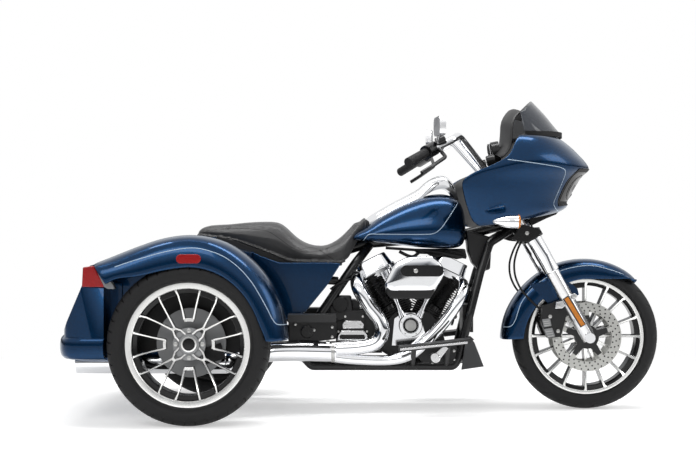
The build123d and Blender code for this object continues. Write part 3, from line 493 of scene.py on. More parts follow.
def bolt_tree(name, sides):
    """Node tree that puts one screw head on each point, along that point's axis, and makes them real."""
    group = bpy.data.node_groups.new(name, "GeometryNodeTree")
    face = group.interface
    face.new_socket("Geometry", in_out="INPUT", socket_type="NodeSocketGeometry")
    sizes = {label: face.new_socket(label, in_out="INPUT", socket_type=kind).identifier for label, kind in
             (("Head radius", "NodeSocketFloat"), ("Head height", "NodeSocketFloat"),
              ("Finish", "NodeSocketMaterial"))}
    face.new_socket("Geometry", in_out="OUTPUT", socket_type="NodeSocketGeometry")
    start = add(group, "NodeGroupInput").outputs
    radius, height = start["Head radius"], start["Head height"]
    half, crest = (add(group, "ShaderNodeMath", {0: height, 1: share}, operation="MULTIPLY").outputs[0]
                   for share in (0.5, 0.35))
    head = add(group, "GeometryNodeMeshCylinder", {"Vertices": sides, "Radius": radius, "Depth": height})
    crown = add(group, "GeometryNodeMeshCone", {"Vertices": sides, "Radius Top": 0.0,
                                                "Radius Bottom": radius, "Depth": crest})
    whole = add(group, "GeometryNodeJoinGeometry")
    for solid, lift in ((head, half), (crown, height)):
        way = add(group, "ShaderNodeCombineXYZ", {"Z": lift})
        raised = add(group, "GeometryNodeTransform", {"Geometry": solid.outputs["Mesh"],
                                                      "Translation": way.outputs[0]})
        group.links.new(raised.outputs[0], whole.inputs["Geometry"])
    axis = add(group, "GeometryNodeInputNamedAttribute", {"Name": "axis"}, data_type="FLOAT_VECTOR")
    turn = add(group, "FunctionNodeAlignRotationToVector", {"Vector": axis.outputs[0]}, axis="Z")
    spread = add(group, "GeometryNodeInstanceOnPoints", {"Points": start["Geometry"],
                                                         "Instance": whole.outputs[0],
                                                         "Rotation": turn.outputs[0]})
    real = add(group, "GeometryNodeRealizeInstances", {"Geometry": spread.outputs[0]})
    coated = add(group, "GeometryNodeSetMaterial", {"Geometry": real.outputs[0],
                                                    "Material": start["Finish"]})
    add(group, "NodeGroupOutput", {"Geometry": coated.outputs[0]})
    return group, sizes


def turns(count):
    """Angles of a full turn in equal steps."""
    return [tau * k / count for k in range(count)]


HEX_HEAD = bolt_tree("hex_screw_heads", 6)
ROUND_HEAD = bolt_tree("round_screw_heads", 16)
STEEL = (satin_steel, "brushed_steel")


def screws(name, spots, radius, height, material, slot, body="chassis", head=HEX_HEAD):
    """One mesh of screw heads on the flanks, each facing out from its side; spots are (x, y, z) in mm."""
    mesh = bpy.data.meshes.new(name)
    mesh.from_pydata([(x * MM, y * MM, z * MM) for x, y, z in spots], [], [])
    axis = mesh.attributes.new("axis", "FLOAT_VECTOR", "POINT")
    for k, spot in enumerate(spots):
        axis.data[k].vector = (0, 1 if spot[1] > 0 else -1, 0)
    seed = placed(name + "_points", mesh)
    grow = seed.modifiers.new("heads", "NODES")
    grow.node_group, inputs = head
    grow[inputs["Head radius"]] = radius * MM
    grow[inputs["Head height"]] = height * MM
    grow[inputs["Finish"]] = material
    real = baked(seed)
    seed.modifiers.clear()
    bpy.data.objects.remove(seed)
    real.name = name
    obj = placed(name, real)
    smooth_shaded(real, 25)
    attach(obj, body)
    return obj


HALF_REAR_RIM = [(229, 77, 0), (246, 79, 0), (249, 81.5, 1), (248, 83.8, 1), (241, 84, 1), (226, 82.5, 1),
                 (223.5, 80, 0), (221, 60, 0), (206, 48, 0), (204, 40, 0)]
for side, sign in (("left", 1), ("right", -1)):
    wheel_y = sign * REAR_WHEEL_Y
    body = f"rear_wheel_{side}"
    bm = bmesh.new()
    profile = [(r * MM, wheel_y + sign * y * MM, m) for r, y, m in HALF_REAR_RIM]
    inner = [(r, y, 0) for r, y, _ in reversed(HALF_REAR_RIM)]
    profile += [(r * MM, wheel_y - sign * y * MM, 0) for r, y, _ in inner]
    lathe(bm, profile, *REAR_AXLE, steps=160)
    piece(f"rear_rim_{side}_turned", bm, [wheel_black, turned_rear], [f"rear_wheel_{side}"],
          sharp=30)

    bm = bmesh.new()
    base = REAR_WHEEL_Y / MM
    for quarter in range(4):
        square = 90 * quarter
        for t in (-1, 1):
            # columns: radius, degrees, half width, face, back (out from the wheel's middle plane)
            legs = [
                [(100, square + t * 10.3, 4.8, 33, -2), (150, square + t * 10.8, 3.6, 37, 6),
                 (200, square + t * 11.8, 3.6, 52, 16), (226, square + t * 12.8, 5.5, 78, 40)],
                [(40, square + 45 + t * 27, 4.5, 33, 0), (63, square + 45 + t * 16, 4.5, 34, 0),
                 (86, square + 45 + t * 3.6, 4.8, 35, 0), (150, square + 45 + t * 9.6, 3.6, 38, 8),
                 (200, square + 45 + t * 12.0, 3.6, 53, 18), (226, square + 45 + t * 14.2, 5.5, 78, 40)],
            ]
            for leg in legs:
                bar(bm, REAR_AXLE, [(r, a, w, base + f, base + b) for r, a, w, f, b in leg], False, sign)
        sector(bm, REAR_AXLE, (92, 104), square, 12.2, (sign * (base - 2), sign * (base + 33)), arc=6)
    piece(f"rear_wheel_spokes_{side}", bm, [wheel_black, turned_rear], body=body, sharp=30)

    bm = bmesh.new()
    for i in range(4):
        sector(bm, REAR_AXLE, (91.5, 104.5), 90 * i, 11.4, (sign * (base + 28), sign * (base + 33.4)), arc=6)
    for i in range(4):
        sector(bm, REAR_AXLE, (80, 92), 45 + 90 * i, 5.5, (sign * (base + 20), sign * (base + 35.2)), arc=4)
    piece(f"rear_wheel_bridges_{side}", bm, [turned_rear], body=body, edge=1.5 * MM)

    bm = bmesh.new()
    for i in range(8):
        sector(bm, REAR_AXLE, (199, 226), 22.5 + 45 * i, 8.9, (sign * (base + 30), sign * (base + 72)))
    piece(f"rear_wheel_pads_{side}", bm, [wheel_black], body=body, edge=5 * MM)

    bm = bmesh.new()
    # columns: radius, y out from the middle plane, finish (0 black, 1 cast grey, 2 bright)
    boss = [(17, -62, 0), (40, -62, 0), (42, -20, 0), (66, -6, 1), (68, 14, 1), (66, 22, 1), (44, 25, 1),
            (42.5, 33, 1), (40, 35, 1), (33, 35.5, 2), (31.5, 39, 2), (25, 39.5, 0), (22, 36.5, 0),
            (10, 37.4, 0), (0.5, 37.5, 0)]
    profile = [(r * MM, sign * (base + y) * MM, m) for r, y, m in boss]
    rings = lathe(bm, profile, *REAR_AXLE, steps=64, closed=False)
    bm.faces.new([ring[-1] for ring in rings])
    bm.faces.new([ring[0] for ring in rings])
    piece(f"rear_hub_{side}_turned", bm, [wheel_black, cast_grey, turned_rear], body=body,
          sharp=30)
    studs = [(REAR_AXLE[0] / MM + 54 * cos(turn), sign * (base + 21), REAR_AXLE[1] / MM + 54 * sin(turn))
             for turn in turns(4)]
    screws(f"rear_wheel_studs_{side}", studs, 9.5, 8, *STEEL, body)
    dress(cast_grey, f"rear_rotor_{side}")


# ---- Fork ------------------------------------------------------------------------------------------
# Telescopic fork: polished alloy sliders over steel tubes, held by two forged clamps on the stem. The
# covers above the sliders and the clamps are chromed or painted gloss black.


def skin(bm, rows, material_index=0, wrap=False):
    """Adds a sheet of quads through rows of points, in metres."""
    grid = [[bm.verts.new(p) for p in row] for row in rows]
    for one, two in zip(grid, grid[1:]):
        count = len(one)
        for j in range(count if wrap else count - 1):
            face = bm.faces.new((one[j], two[j], two[(j + 1) % count], one[(j + 1) % count]))
            face.material_index = material_index
    return grid


def smooth_rows(table, steps):
    """Rows between those of a table, on a curve through it (Catmull-Rom), steps for each gap."""
    out = []
    for k in range(len(table) - 1):
        p0, p1 = table[max(0, k - 1)], table[k]
        p2, p3 = table[k + 1], table[min(len(table) - 1, k + 2)]
        for i in range(steps):
            t = i / steps
            out.append(tuple(0.5 * (2 * b + (c - a) * t + (2 * a - 5 * b + 4 * c - d) * t * t
                                    + (3 * b - a - 3 * c + d) * t ** 3)
                             for a, b, c, d in zip(p0, p1, p2, p3)))
    out.append(tuple(table[-1]))
    return out


def closed_loft(table, section):
    """Closed body through rows of (x, half width, bottom z, top z) in mm, with the section on both sides."""
    bm = bmesh.new()
    rows = []
    for x, half, low, high in smooth_rows(table, 2):
        side_line = [(half * a, low + (high - low) * b) for a, b in section]
        row = side_line + [(-y, z) for y, z in reversed(side_line[1:-1])]
        rows.append([(x * MM, y * MM, z * MM) for y, z in row])
    grid = skin(bm, rows, wrap=True)
    bm.faces.new(grid[0])
    bm.faces.new(list(reversed(grid[-1])))
    return bm


def finished(node, material, slot, edge, sharp=35, shape=None):
    """The CAD solid as one clean mesh with rounded edges (mm) for its node; shape edits it first."""
    bm = bmesh.new()
    bm.from_mesh(frame["nodes"][node].data)
    for face in bm.faces:
        face.material_index = 0
    bmesh.ops.remove_doubles(bm, verts=bm.verts, dist=0.02 * MM)
    bmesh.ops.dissolve_limit(bm, angle_limit=radians(0.6), verts=bm.verts, edges=bm.edges)
    if shape:
        shape(bm)
    return piece(node + "_finished", bm, [material], node, edge=edge * MM, sharp=sharp)


def plate(name, outline, y_in, y_out, material, slot, body="chassis", edge=2, both=False):
    """A flat piece cut to a side outline of (x, z) points in mm, between two depths."""
    bm = bmesh.new()
    for sign in ((1, -1) if both else (1,)):
        near = [bm.verts.new((x * MM, sign * y_out * MM, z * MM)) for x, z in outline]
        far = [bm.verts.new((x * MM, sign * y_in * MM, z * MM)) for x, z in outline]
        bm.faces.new(near)
        bm.faces.new(list(reversed(far)))
        for k in range(len(outline)):
            j = (k + 1) % len(outline)
            bm.faces.new((near[k], far[k], far[j], near[j]))
    return piece(name, bm, [material], body=body, edge=edge * MM, sharp=30)


def turned(name, spots, material, slot, body="chassis", node=None, sides=32, mats=None, materials=None,
           sharp=30):
    """Round piece turned about a line; spots are (point, radius) in mm along it."""
    bm = bmesh.new()
    for group in (spots if isinstance(spots[0], list) else [spots]):
        way = (Vector(group[-1][0]) - Vector(group[0][0])).normalized()
        side = way.orthogonal().normalized()
        up = way.cross(side)
        rings = [[(Vector(point) + radius * (cos(turn) * side + sin(turn) * up)) * MM
                  for turn in turns(sides)] for point, radius in group]
        slots = mats or [0] * len(rings)
        for k, (one, two) in enumerate(zip(rings, rings[1:])):
            skin(bm, [one, two], slots[k], wrap=True)
        for ring, index in ((rings[0], 0), (rings[-1], slots[len(rings) - 2])):
            if (ring[0] - ring[sides // 2]).length > 0.5 * MM:
                bm.faces.new([bm.verts.new(p) for p in ring]).material_index = index
    return piece(name, bm, materials or [material], node, body, sharp=sharp)


PIPE_SIDES = 28
PIPE_STEPS = 6


def pipe(name, runs, material, slot, node=None):
    """Bent tube through (x, y, z, radius) points in mm, along a curve; several runs make one piece."""
    bm = bmesh.new()
    for run in runs:
        line = smooth_rows(run, PIPE_STEPS)
        rings = []
        side = None
        for k, (x, y, z, radius) in enumerate(line):
            spot = Vector((x, y, z))
            way = (Vector(line[min(k + 1, len(line) - 1)][:3]) - Vector(line[max(k - 1, 0)][:3])).normalized()
            side = (way.orthogonal() if side is None else side - side.dot(way) * way).normalized()
            up = way.cross(side)
            rings.append([(spot + radius * (cos(turn) * side + sin(turn) * up)) * MM
                          for turn in turns(PIPE_SIDES)])
        grid = skin(bm, rings, wrap=True)
        bm.faces.new(grid[0])
        bm.faces.new(grid[-1])
    return piece(name, bm, [material], node, "chassis", sharp=40)


chrome = metal_finish("polished_chrome_plate", "eeeff1", 0.07, 3.0, 0.02, spread=0.04)
polished_alloy = metal_finish("polished_fork_alloy", "d9d9da", 0.20, 1.0, 0.05)
satin_black = powder_coat("satin_black_powder_coat", "101011", 0.42)
CHROMED = (chrome, "chrome")
ALLOY = (polished_alloy, "alloy")
GLOSS_BLACK = (black_gloss, "black_paint")
finished("fork_legs", polished_alloy, "chrome", 1.0)
finished("front_axle", *CHROMED, 1.5)
finished("fork_clamps", black_gloss, "black_paint", 5)
finished("front_calipers", satin_black, "black_paint", 4)


def black_middle(mat, centre, radius):
    """Black coating on a turned part inside a radius (m) of an axle at (x, z)."""
    tree = mat.node_tree
    coat = next(n for n in tree.nodes if n.bl_idname == "ShaderNodeBsdfPrincipled")
    place = add(tree, "ShaderNodeTexCoord").outputs["Object"]
    bare = add(tree, "ShaderNodeMath", {0: axle_distance(tree, place, centre), 1: radius},
               operation="GREATER_THAN").outputs[0]
    metal = coat.inputs["Base Color"].links[0].from_socket
    tint = add(tree, "ShaderNodeMix", {"Factor": bare, 6: linear("0d0d0e"), 7: metal}, data_type="RGBA")
    tree.links.new(tint.outputs[2], coat.inputs["Base Color"])
    tree.links.new(bare, coat.inputs["Metallic"])


black_middle(disc_steel, FRONT_AXLE, 94 * MM)
finished("front_rotors", disc_steel, "brushed_steel", 0.5)
RAKE = radians(29.3)


def on_fork(along, across, y):
    """Point by the fork legs in mm: along runs up from the front axle, across towards the front."""
    return (FRONT_AXLE[0] / MM - along * sin(RAKE) + across * cos(RAKE), y,
            FRONT_AXLE[1] / MM + along * cos(RAKE) + across * sin(RAKE))


turned("fork_leg_sleeves", [[(on_fork(a, 0, y), r) for a, r in
                             ((326, 31.2), (330, 34.5), (396, 34.5), (400, 35.5), (516, 35.5))]
                            for y in (-125, 125)], *CHROMED, "steering")
shroud = [(625, 745), (674, 808), (706, 800), (744, 790), (759, 775), (740, 755), (696, 732), (655, 736)]
plate("fork_shroud", shroud, -166, -170, *GLOSS_BLACK, "steering", both=True)
screws("fork_shroud_screws", [(694, y, 770) for y in (-170, 170)], 9, 5, *STEEL, "steering")
hose_rubber = rubber_finish("braided_hose_rubber", "0e0e0f")
dress(hose_rubber, "brake_lines")

# Caliper pad covers with their ribs, fender lugs with their bolts, and the cooling holes of the rotors
for sign in (-1, 1):
    hand = "right" if sign < 0 else "left"
    for k, outline in enumerate(([(764, 398), (800, 403), (807, 369), (772, 363)],
                                 [(772, 356), (809, 362), (823, 323), (788, 316)])):
        plate(f"caliper_pad_cover_{hand}_{k}", outline, sign * -119, sign * -126, cast_grey, "alloy",
              "steering", 3)
        (x0, z0), (x3, z3) = outline[0], outline[3]
        for step in (0.3, 0.55, 0.8):
            x, z = x0 + (x3 - x0) * step, z0 + (z3 - z0) * step
            rib = [(x + 4, z + 1.5), (x + 30, z + 5), (x + 30.5, z + 2), (x + 4.5, z - 1.5)]
            plate(f"caliper_rib_{hand}_{k}_{int(step * 100)}", rib, sign * -125, sign * -128,
                  satin_steel, "alloy", "steering", 0.5)
screws("fork_bolts", [(x, sign * y, z) for sign in (-1, 1) for x, y, z in
                      ((834, 121, 347), (834, 150, 460), (901, 150, 499), (887, 150, 374), (800, 121, 410),
                       (828, 121, 312))], 8.5, 7, *STEEL, "steering")
for name, outline in (("fender_lugs", [(816, 444), (850, 446), (866, 462), (852, 480), (822, 474)]),
                      ("fender_lugs_upper", [(872, 470), (902, 482), (916, 500), (900, 514), (868, 496)])):
    plate(name, outline, -118, -150, polished_alloy, "chrome", "steering", 4, both=True)
bm = bmesh.new()
for sign in (-1, 1):
    for row, radius in enumerate((114, 128, 142)):
        for k in range(30):
            x, y, z = on_circle(FRONT_AXLE, radius, tau * (k + row / 3) / 30, sign * 76.9)
            bm.faces.new([bm.verts.new((x + 3.6 * MM * cos(a), y, z + 3.6 * MM * sin(a)))
                          for a in turns(8)])
piece("rotor_cooling_holes", bm, [black_gloss], body="front_wheel")


# ---- Engine ----------------------------------------------------------------------------------------
# Air-cooled V-twin of cast aluminium, painted satin black with chromed covers. The barrels carry thin
# cast fins and round ribs, and the covers are held by screws round their rims.
black_casting = powder_coat("black_crinkle_cast_aluminium", "121213", 0.38)
CRANK_X, CRANK_Z = 205, 285
BANK = radians(26)


def on_bank(side, along, across, y):
    """Point on a cylinder bank in mm: side is +1 for the front one, along runs up its axis."""
    x = CRANK_X + side * (along * sin(BANK) + across * cos(BANK))
    z = CRANK_Z + along * cos(BANK) - across * sin(BANK)
    return Vector((x, y, z))


def disc_stack(name, centre, steps, material, slot):
    """Turned cover on the trike's flank; steps are (radius, Y) in mm from its foot to its middle."""
    bm = bmesh.new()
    rings = [[on_circle((centre[0] * MM, centre[1] * MM), r, turn, y) for turn in turns(48)] for r,
             y in steps]
    grid = skin(bm, rings, wrap=True)
    bm.faces.new(grid[-1])
    return piece(name, bm, [material], body="chassis", sharp=25)


CASTING = (black_casting, "black_engine")
GLOSS_ENGINE = (black_gloss, "black_engine")
finished("crankcase", *CASTING, 6)
for bank in ("front", "rear"):
    finished(f"cylinder_{bank}", *CASTING, 0.6, sharp=50)
for node, looks, edge in (("rocker_covers", CHROMED, 9), ("cam_cover", CHROMED, 3), ("gearbox", CASTING, 8),
                          ("primary_cover", CHROMED, 16),
                          ("oil_cooler", (satin_black, "black_plastic"), 2)):
    finished(node, *looks, edge)

# Ribbed outer barrels: stacked round fins down the open face of each cylinder
barrels = []
for top, low in (((19, -92, 585), (108, -92, 440)), ((403, -92, 569), (296, -92, 440))):
    top, low = Vector(top), Vector(low)
    stack = []
    for k in range(12):
        for share, radius in ((0.0, 20), (0.2, 28), (0.3, 30), (0.48, 30), (0.58, 28), (0.78, 20)):
            stack.append((top.lerp(low, (k + share) / 13.5), radius))
    stack += [(top.lerp(low, 0.9), 26), (low, 26)]
    barrels.append(stack)
turned("ribbed_barrels", barrels, *GLOSS_ENGINE, sides=36, sharp=50)

# Timing cover: a round chromed cap with a dark sunk middle and five screws
TIMING = (197, 372)
disc_stack("timing_cover_ring", TIMING, [(51, -126), (51, -130), (48, -134), (35, -134), (33, -131)],
           *CHROMED)
disc_stack("timing_cover_insert", TIMING, [(33, -130.5), (32, -131.5), (26, -131.5)], *GLOSS_ENGINE)
disc_stack("timing_cover_centre", TIMING, [(25, -131), (24, -133.5), (12, -134.5), (11, -133), (5, -133)],
           *STEEL)
screws("timing_cover_screws", [(TIMING[0] + 42 * cos(turn), -134, TIMING[1] + 42 * sin(turn))
                               for turn in (0.3, 1.56, 2.8, 4.1, 5.3)], 3.2, 2.4, *STEEL, head=ROUND_HEAD)
screws("rocker_cover_screws", [on_bank(side, 344, across, y) for side in (-1, 1) for across in (-58, 58)
                               for y in (-88, 88)], 3.6, 3, *CHROMED, head=ROUND_HEAD)

# Air cleaner: a chromed pan with a raised oval cover and a dark insert, one screw at its middle, and a
# dark lower pan under it
AIR_CLEANER = [(83, 560), (124, 641), (178, 668), (280, 674), (310, 652), (340, 606), (300, 540), (282, 524),
               (104, 524), (84, 542)]
finished("air_cleaner", *CHROMED, 10)
bm = bmesh.new()
middle = Vector((205, 590))
rings = []
for share, y in ((1.0, -255), (1.012, -262), (1.0, -268), (0.955, -273), (0.88, -276.5), (0.66, -279),
                 (0.3, -280)):
    ring = []
    for k, corner in enumerate(AIR_CLEANER):
        ahead = Vector(AIR_CLEANER[(k + 1) % len(AIR_CLEANER)])
        for step in (0.12, 0.37, 0.63, 0.88):
            spot = middle + (Vector(corner).lerp(ahead, step) - middle) * share
            ring.append((spot.x * MM, y * MM, spot.y * MM))
    rings.append(ring)
grid = skin(bm, rings, wrap=True)
bm.faces.new(grid[-1])
piece("air_cleaner_cover", bm, [chrome], body="chassis", smooth=1, sharp=60)
oval = []
for cx, start in ((306, -90), (172, 90)):
    for k in range(13):
        turn = radians(start + 15 * k)
        oval.append((cx + 24 * cos(turn), 611 + 24 * sin(turn)))
plate("air_cleaner_insert", oval, -274, -283, *GLOSS_BLACK, edge=1.5)
plate("air_cleaner_lower_pan", [(108, 492), (272, 492), (291, 522), (296, 548), (88, 548), (85, 520)],
      -206, -272, satin_black, "black_paint", edge=8)
turned("air_cleaner_screw", [((212, -282, 611), 9), ((212, -286, 611), 9), ((212, -287, 611), 7)], *STEEL)

# Gearbox end covers on the right side: two polished plates and a sunk black oval, held by screws
# columns: name, outline (x, z), inner y, outer y, finish, edge (mm)
for name, outline, y_in, y_out, looks, edge in (
        ("gearbox_end_cover", [(-122, 306), (14, 306), (10, 330), (-6, 350), (-104, 350), (-118, 330)],
         -112, -126, ALLOY, 4),
        ("gearbox_cover_slot", [(-106, 312), (-4, 312), (2, 322), (-4, 332), (-106, 332), (-112, 322)],
         -120, -127, GLOSS_ENGINE, 1.5),
        ("gearbox_top_plate", [(-96, 358), (-8, 358), (-4, 376), (-18, 392), (-86, 392), (-100, 376)],
         -112, -124, ALLOY, 3)):
    plate(name, outline, y_in, y_out, *looks, edge=edge)
screws("gearbox_screws", [(-84, -124, 375), (-20, -124, 375), (-116, -118, 345), (8, -118, 345),
                          (-118, -118, 300), (12, -118, 300), (-86, -118, 410), (-10, -118, 410)],
       5, 4, *STEEL)

# Behind the bright parts: coil bracket under the tank, neck cover, starter, linkage box, lower case, pedal
# columns: name, outline or middle (x, z), depths (y) or steps (y, radius), finish, edge (none: turned)
for name, form, depths, looks, edge in (
        ("coil_bracket", [(210, 702), (438, 702), (446, 664), (400, 656), (330, 676), (230, 680)],
         (-58, 58), CASTING, 5),
        ("neck_cover", [(440, 786), (556, 752), (548, 612), (506, 600), (470, 640), (452, 690)],
         (-52, 52), (satin_black, "black_plastic"), 8),
        ("starter_housing", [(-150, 500), (-60, 500), (-52, 440), (-60, 392), (-150, 392), (-158, 450)],
         (-60, -112), CASTING, 8),
        ("starter_end", (-108, 462), ((-108, 34), (-122, 34), (-125, 31), (-125, 12)), GLOSS_ENGINE, None),
        ("linkage_box", [(-330, 398), (-124, 398), (-124, 316), (-200, 306), (-330, 306)],
         (-150, -176), CASTING, 6),
        ("linkage_cap", (-249, 347), ((-174, 28), (-184, 28), (-187, 24)), GLOSS_ENGINE, None),
        ("lower_case", [(206, 272), (398, 288), (406, 206), (340, 188), (262, 188)], (-96, -128), CASTING, 6),
        ("pedal_pivot", (297, 241), ((-232, 19), (-268, 19), (-271, 15)), ALLOY, None),
        ("pedal_arm", [(283, 252), (308, 228), (356, 290), (334, 296)], (-252, -264), ALLOY, 2)):
    if edge:
        plate(name, form, *depths, *looks, edge=edge)
    else:
        turned(name, [((form[0], y, form[1]), r) for y, r in depths], *looks)
screws("case_screws", [(-219, -176, 355), (-142, -176, 368), (-142, -176, 326), (-300, -176, 380),
                       (330, -128, 270), (384, -128, 262), (388, -128, 222), (350, -128, 205),
                       (290, -128, 206)], 6.5, 5, *STEEL)
tubes = []
for side in (-1, 1):
    for across in (-44, -20):
        foot = Vector((197 + side * 22 - across * side * 0.4, -104, 404))
        top = on_bank(side, 342, across, -98)
        low, high = foot.lerp(top, 0.14), foot.lerp(top, 0.86)
        tubes.append([(foot, 13), (low, 13), (low, 9), (high, 9), (high, 12.5), (top, 12.5)])
turned("pushrod_tubes", tubes, *CHROMED)
hoses = [[(x, y, z, r) for x, y, z in path] for r, path in (
    (7, [(150, -70, 690), (205, -84, 668), (250, -80, 692), (310, -84, 672), (366, -80, 694),
         (430, -84, 676)]),
    (5, [(-44, -120, 575), (-100, -128, 560), (-150, -132, 528)]),
    (6, [(90, -90, 706), (180, -96, 700), (300, -96, 690), (440, -90, 664)]))]
pipe("engine_hoses", hoses, rubber_finish("moulded_hose_rubber", "0d0d0e"), "rubber")


# ---- Exhaust ---------------------------------------------------------------------------------------
# Bent steel pipes under chromed heat shields, joined low on the right by a clamped collector, and two
# chromed mufflers with open rolled tips that run back under the luggage body.
headers = [
    [(-20, -70, 585, 27), (-34, -120, 570, 29), (-26, -168, 530, 31), (16, -176, 460, 31),
     (60, -176, 400, 31), (72, -176, 345, 31), (42, -176, 298, 31), (-40, -176, 280, 31),
     (-150, -176, 276, 31)],
    [(405, -70, 560, 23), (424, -125, 545, 24), (404, -168, 485, 25), (335, -174, 385, 26),
     (255, -174, 300, 26), (190, -174, 248, 24), (100, -172, 226, 22), (-60, -172, 230, 22),
     (-170, -174, 246, 24)]]
pipe("exhaust_header_shields", headers, *CHROMED, node="exhaust_headers")
for side, sign, feed in (("right", -1, [(-140, -178, 262, 38), (-150, -178, 262, 43), (-300, -190, 266, 43),
                                        (-420, -250, 266, 43), (-500, -340, 250, 42), (-560, -385, 236, 42)]),
                         ("left", 1, [(-145, -110, 205, 28), (-200, 60, 205, 28), (-300, 200, 220, 30),
                                      (-420, 330, 235, 34), (-560, 385, 235, 40)])):
    y, z = sign * 385, 235
    run = feed + [(-575, y, z, 46)] + [(x, y, z, 47) for x in (-620, -900, -1180)]
    pipe(f"muffler_{side}_shield", [run], *CHROMED, node=f"muffler_{side}")
    lip = ((-1180, 47), (-1196, 47), (-1198, 45), (-1196, 42), (-1120, 41.5))
    turned(f"muffler_{side}_tip", [((x, y, z), r) for x, r in lip], *CHROMED, mats=[0, 0, 0, 1, 1],
           materials=[chrome, satin_black])
clamps = [[((x - 7, y, z), r), ((x + 7, y, z), r)]
          for x, y, z, r in ((-138, -178, 262, 46), (-172, -174, 246, 27), (-160, -176, 276, 34))]
turned("exhaust_clamps", clamps, *STEEL)



# ---- Painted body panels ---------------------------------------------------------------------------
# Deep-drawn steel and moulded fibreglass panels in the same metallic blue: a coloured base with fine
# aluminium flakes under a thick polished clear coat, which gives sharp highlights over a deep colour.


def car_paint(name, code, flake_code):
    """Metallic paint: flakes drawn 2.5 mm across so that they show, a deep base and a clear coat."""
    mat, tree = surface(name)
    place = add(tree, "ShaderNodeTexCoord").outputs["Object"]
    flakes = add(tree, "ShaderNodeTexVoronoi", {"Vector": place, "Scale": 1 / (2.5 * MM)})
    cloud = add(tree, "ShaderNodeTexNoise", {"Vector": place, "Scale": 6.0, "Detail": 3.0})
    peel = add(tree, "ShaderNodeTexNoise", {"Vector": place, "Scale": 1 / (5 * MM)})
    shade(tree, {"Base Color": two_tone(tree, flakes.outputs["Color"], linear(code), linear(flake_code)),
                 "Roughness": drift(tree, cloud.outputs["Fac"], (0.20, 0.28)), "Metallic": 0.9,
                 "Coat Weight": 0.3, "Coat Roughness": 0.03, "Coat IOR": 1.5, "Coat Tint": linear("c8dcf0")},
          relief(tree, peel.outputs["Fac"], 0.02, 0.2 * MM))
    return mat


blue_paint = car_paint("metallic_blue_clear_coat", "022541", "06375c")


def shell(name, bm, wall, node, materials=None):
    """A panel: a sheet given its wall inwards, with soft edges."""
    obj = piece(name, bm, materials or [blue_paint], node)
    thick = obj.modifiers.new("wall", "SOLIDIFY")
    thick.thickness = wall
    thick.offset = -1
    rounded = obj.modifiers.new("rounded_form", "SUBSURF")
    rounded.levels = rounded.render_levels = 1
    return obj


# Front fender: one pressing, crowned across the tyre, bolted to the fork legs through its skirts.
# columns: degrees round the axle, crown radius, skirt edge radius, share of the full half width
FRONT_FENDER = [(48, 333, 331, 0.62), (51, 335.5, 321, 0.80), (55, 337, 308, 0.92), (62, 338, 285.5, 1),
                (72, 338.5, 265, 1), (82, 339, 254.5, 1), (92, 339.5, 252, 1), (104, 341, 250, 1),
                (120, 344, 249, 1), (140, 350, 253, 1), (160, 361, 264, 1), (172, 367, 271, 1),
                (182, 372, 276, 1)]
FENDER_HALF = 87.5
# columns: share of the half width, share of the way from crown to skirt edge, drop below the crown (mm)
FENDER_SECTION = [(0, 0, 0), (0.3, 0, 1.0), (0.55, 0, 4.5), (0.76, 0, 12), (0.9, 0.04, 21), (0.975, 0.22, 20),
                  (1.0, 0.55, 12), (1.0, 0.97, 2), (0.985, 1.0, 0)]
bm = bmesh.new()
rows = []
for degrees, crown, skirt, share in smooth_rows(FRONT_FENDER, 3):
    half = []
    for y_share, way, drop in FENDER_SECTION:
        radius = crown - drop - way * (crown - drop - skirt)
        half.append((radius, y_share * share * FENDER_HALF))
    row = [(r, -y) for r, y in reversed(half[1:])] + half
    rows.append([on_circle(FRONT_AXLE, r, radians(degrees), y) for r, y in row])
skin(bm, rows)
front_fender = shell("front_fender_pressing", bm, 3.5 * MM, "front_fender")
skirt = [(715, 546), (752, 510), (780, 480), (806, 456), (831, 441), (862, 462), (900, 488), (930, 503),
         (924, 528), (906, 544), (870, 566), (845, 572), (780, 562)]
plate("front_fender_skirt", skirt, -84, -88, blue_paint, "blue_paint", "steering", 1, both=True)

# Rear fenders: deep moulded arches over the rear tyres, with a rounded crest and a flared front flank.
# columns: crest x, crest z, shoulder x, shoulder z, arch edge x, arch edge z (mm), from tail to toe
REAR_FENDER = [(-1092, 648, -1078, 636, -1030, 566), (-1020, 677, -1003, 655, -985, 588),
               (-930, 713, -910, 690, -902, 597), (-840, 744, -826, 720, -815, 618),
               (-760, 760, -750, 737, -742, 630), (-690, 763, -685, 740, -680, 632),
               (-620, 753, -618, 727, -615, 617), (-550, 729, -550, 693, -553, 585),
               (-480, 684, -488, 645, -493, 530), (-420, 628, -436, 588, -450, 464),
               (-366, 552, -392, 512, -424, 402), (-327, 455, -360, 428, -408, 366),
               (-309, 341, -345, 341, -400, 341)]
# columns: Y (mm), share from crest to shoulder, share from shoulder to arch edge, extra fall (mm)
ARCH_SECTION = [(440, 0, 0, 12), (500, 0, 0, 4), (560, 0, 0, 0), (612, 0.16, 0, 0), (646, 0.5, 0, 0),
                (670, 1, 0, 0), (684, 1, 0.25, 0), (691, 1, 0.6, 0), (692, 1, 0.97, 0), (684, 1, 1.0, 0),
                (676, 1, 1.0, -1)]
rear_fender = {}
for side, sign in (("left", 1), ("right", -1)):
    bm = bmesh.new()
    rows = []
    for cx, cz, sx, sz, ax, az in smooth_rows(REAR_FENDER, 3):
        row = []
        for y, to_shoulder, to_arch, fall in ARCH_SECTION:
            x = cx + (sx - cx) * to_shoulder + (ax - sx) * to_arch
            z = cz + (sz - cz) * to_shoulder + (az - sz) * to_arch
            inward = Vector((ax - cx, az - cz)).normalized() * fall
            row.append(((x + inward.x) * MM, sign * y * MM, (z + inward.y) * MM))
        rows.append(row)
    skin(bm, rows)
    rear_fender[side] = shell(f"rear_fender_{side}_moulding", bm, 6 * MM, f"fender_rear_{side}")

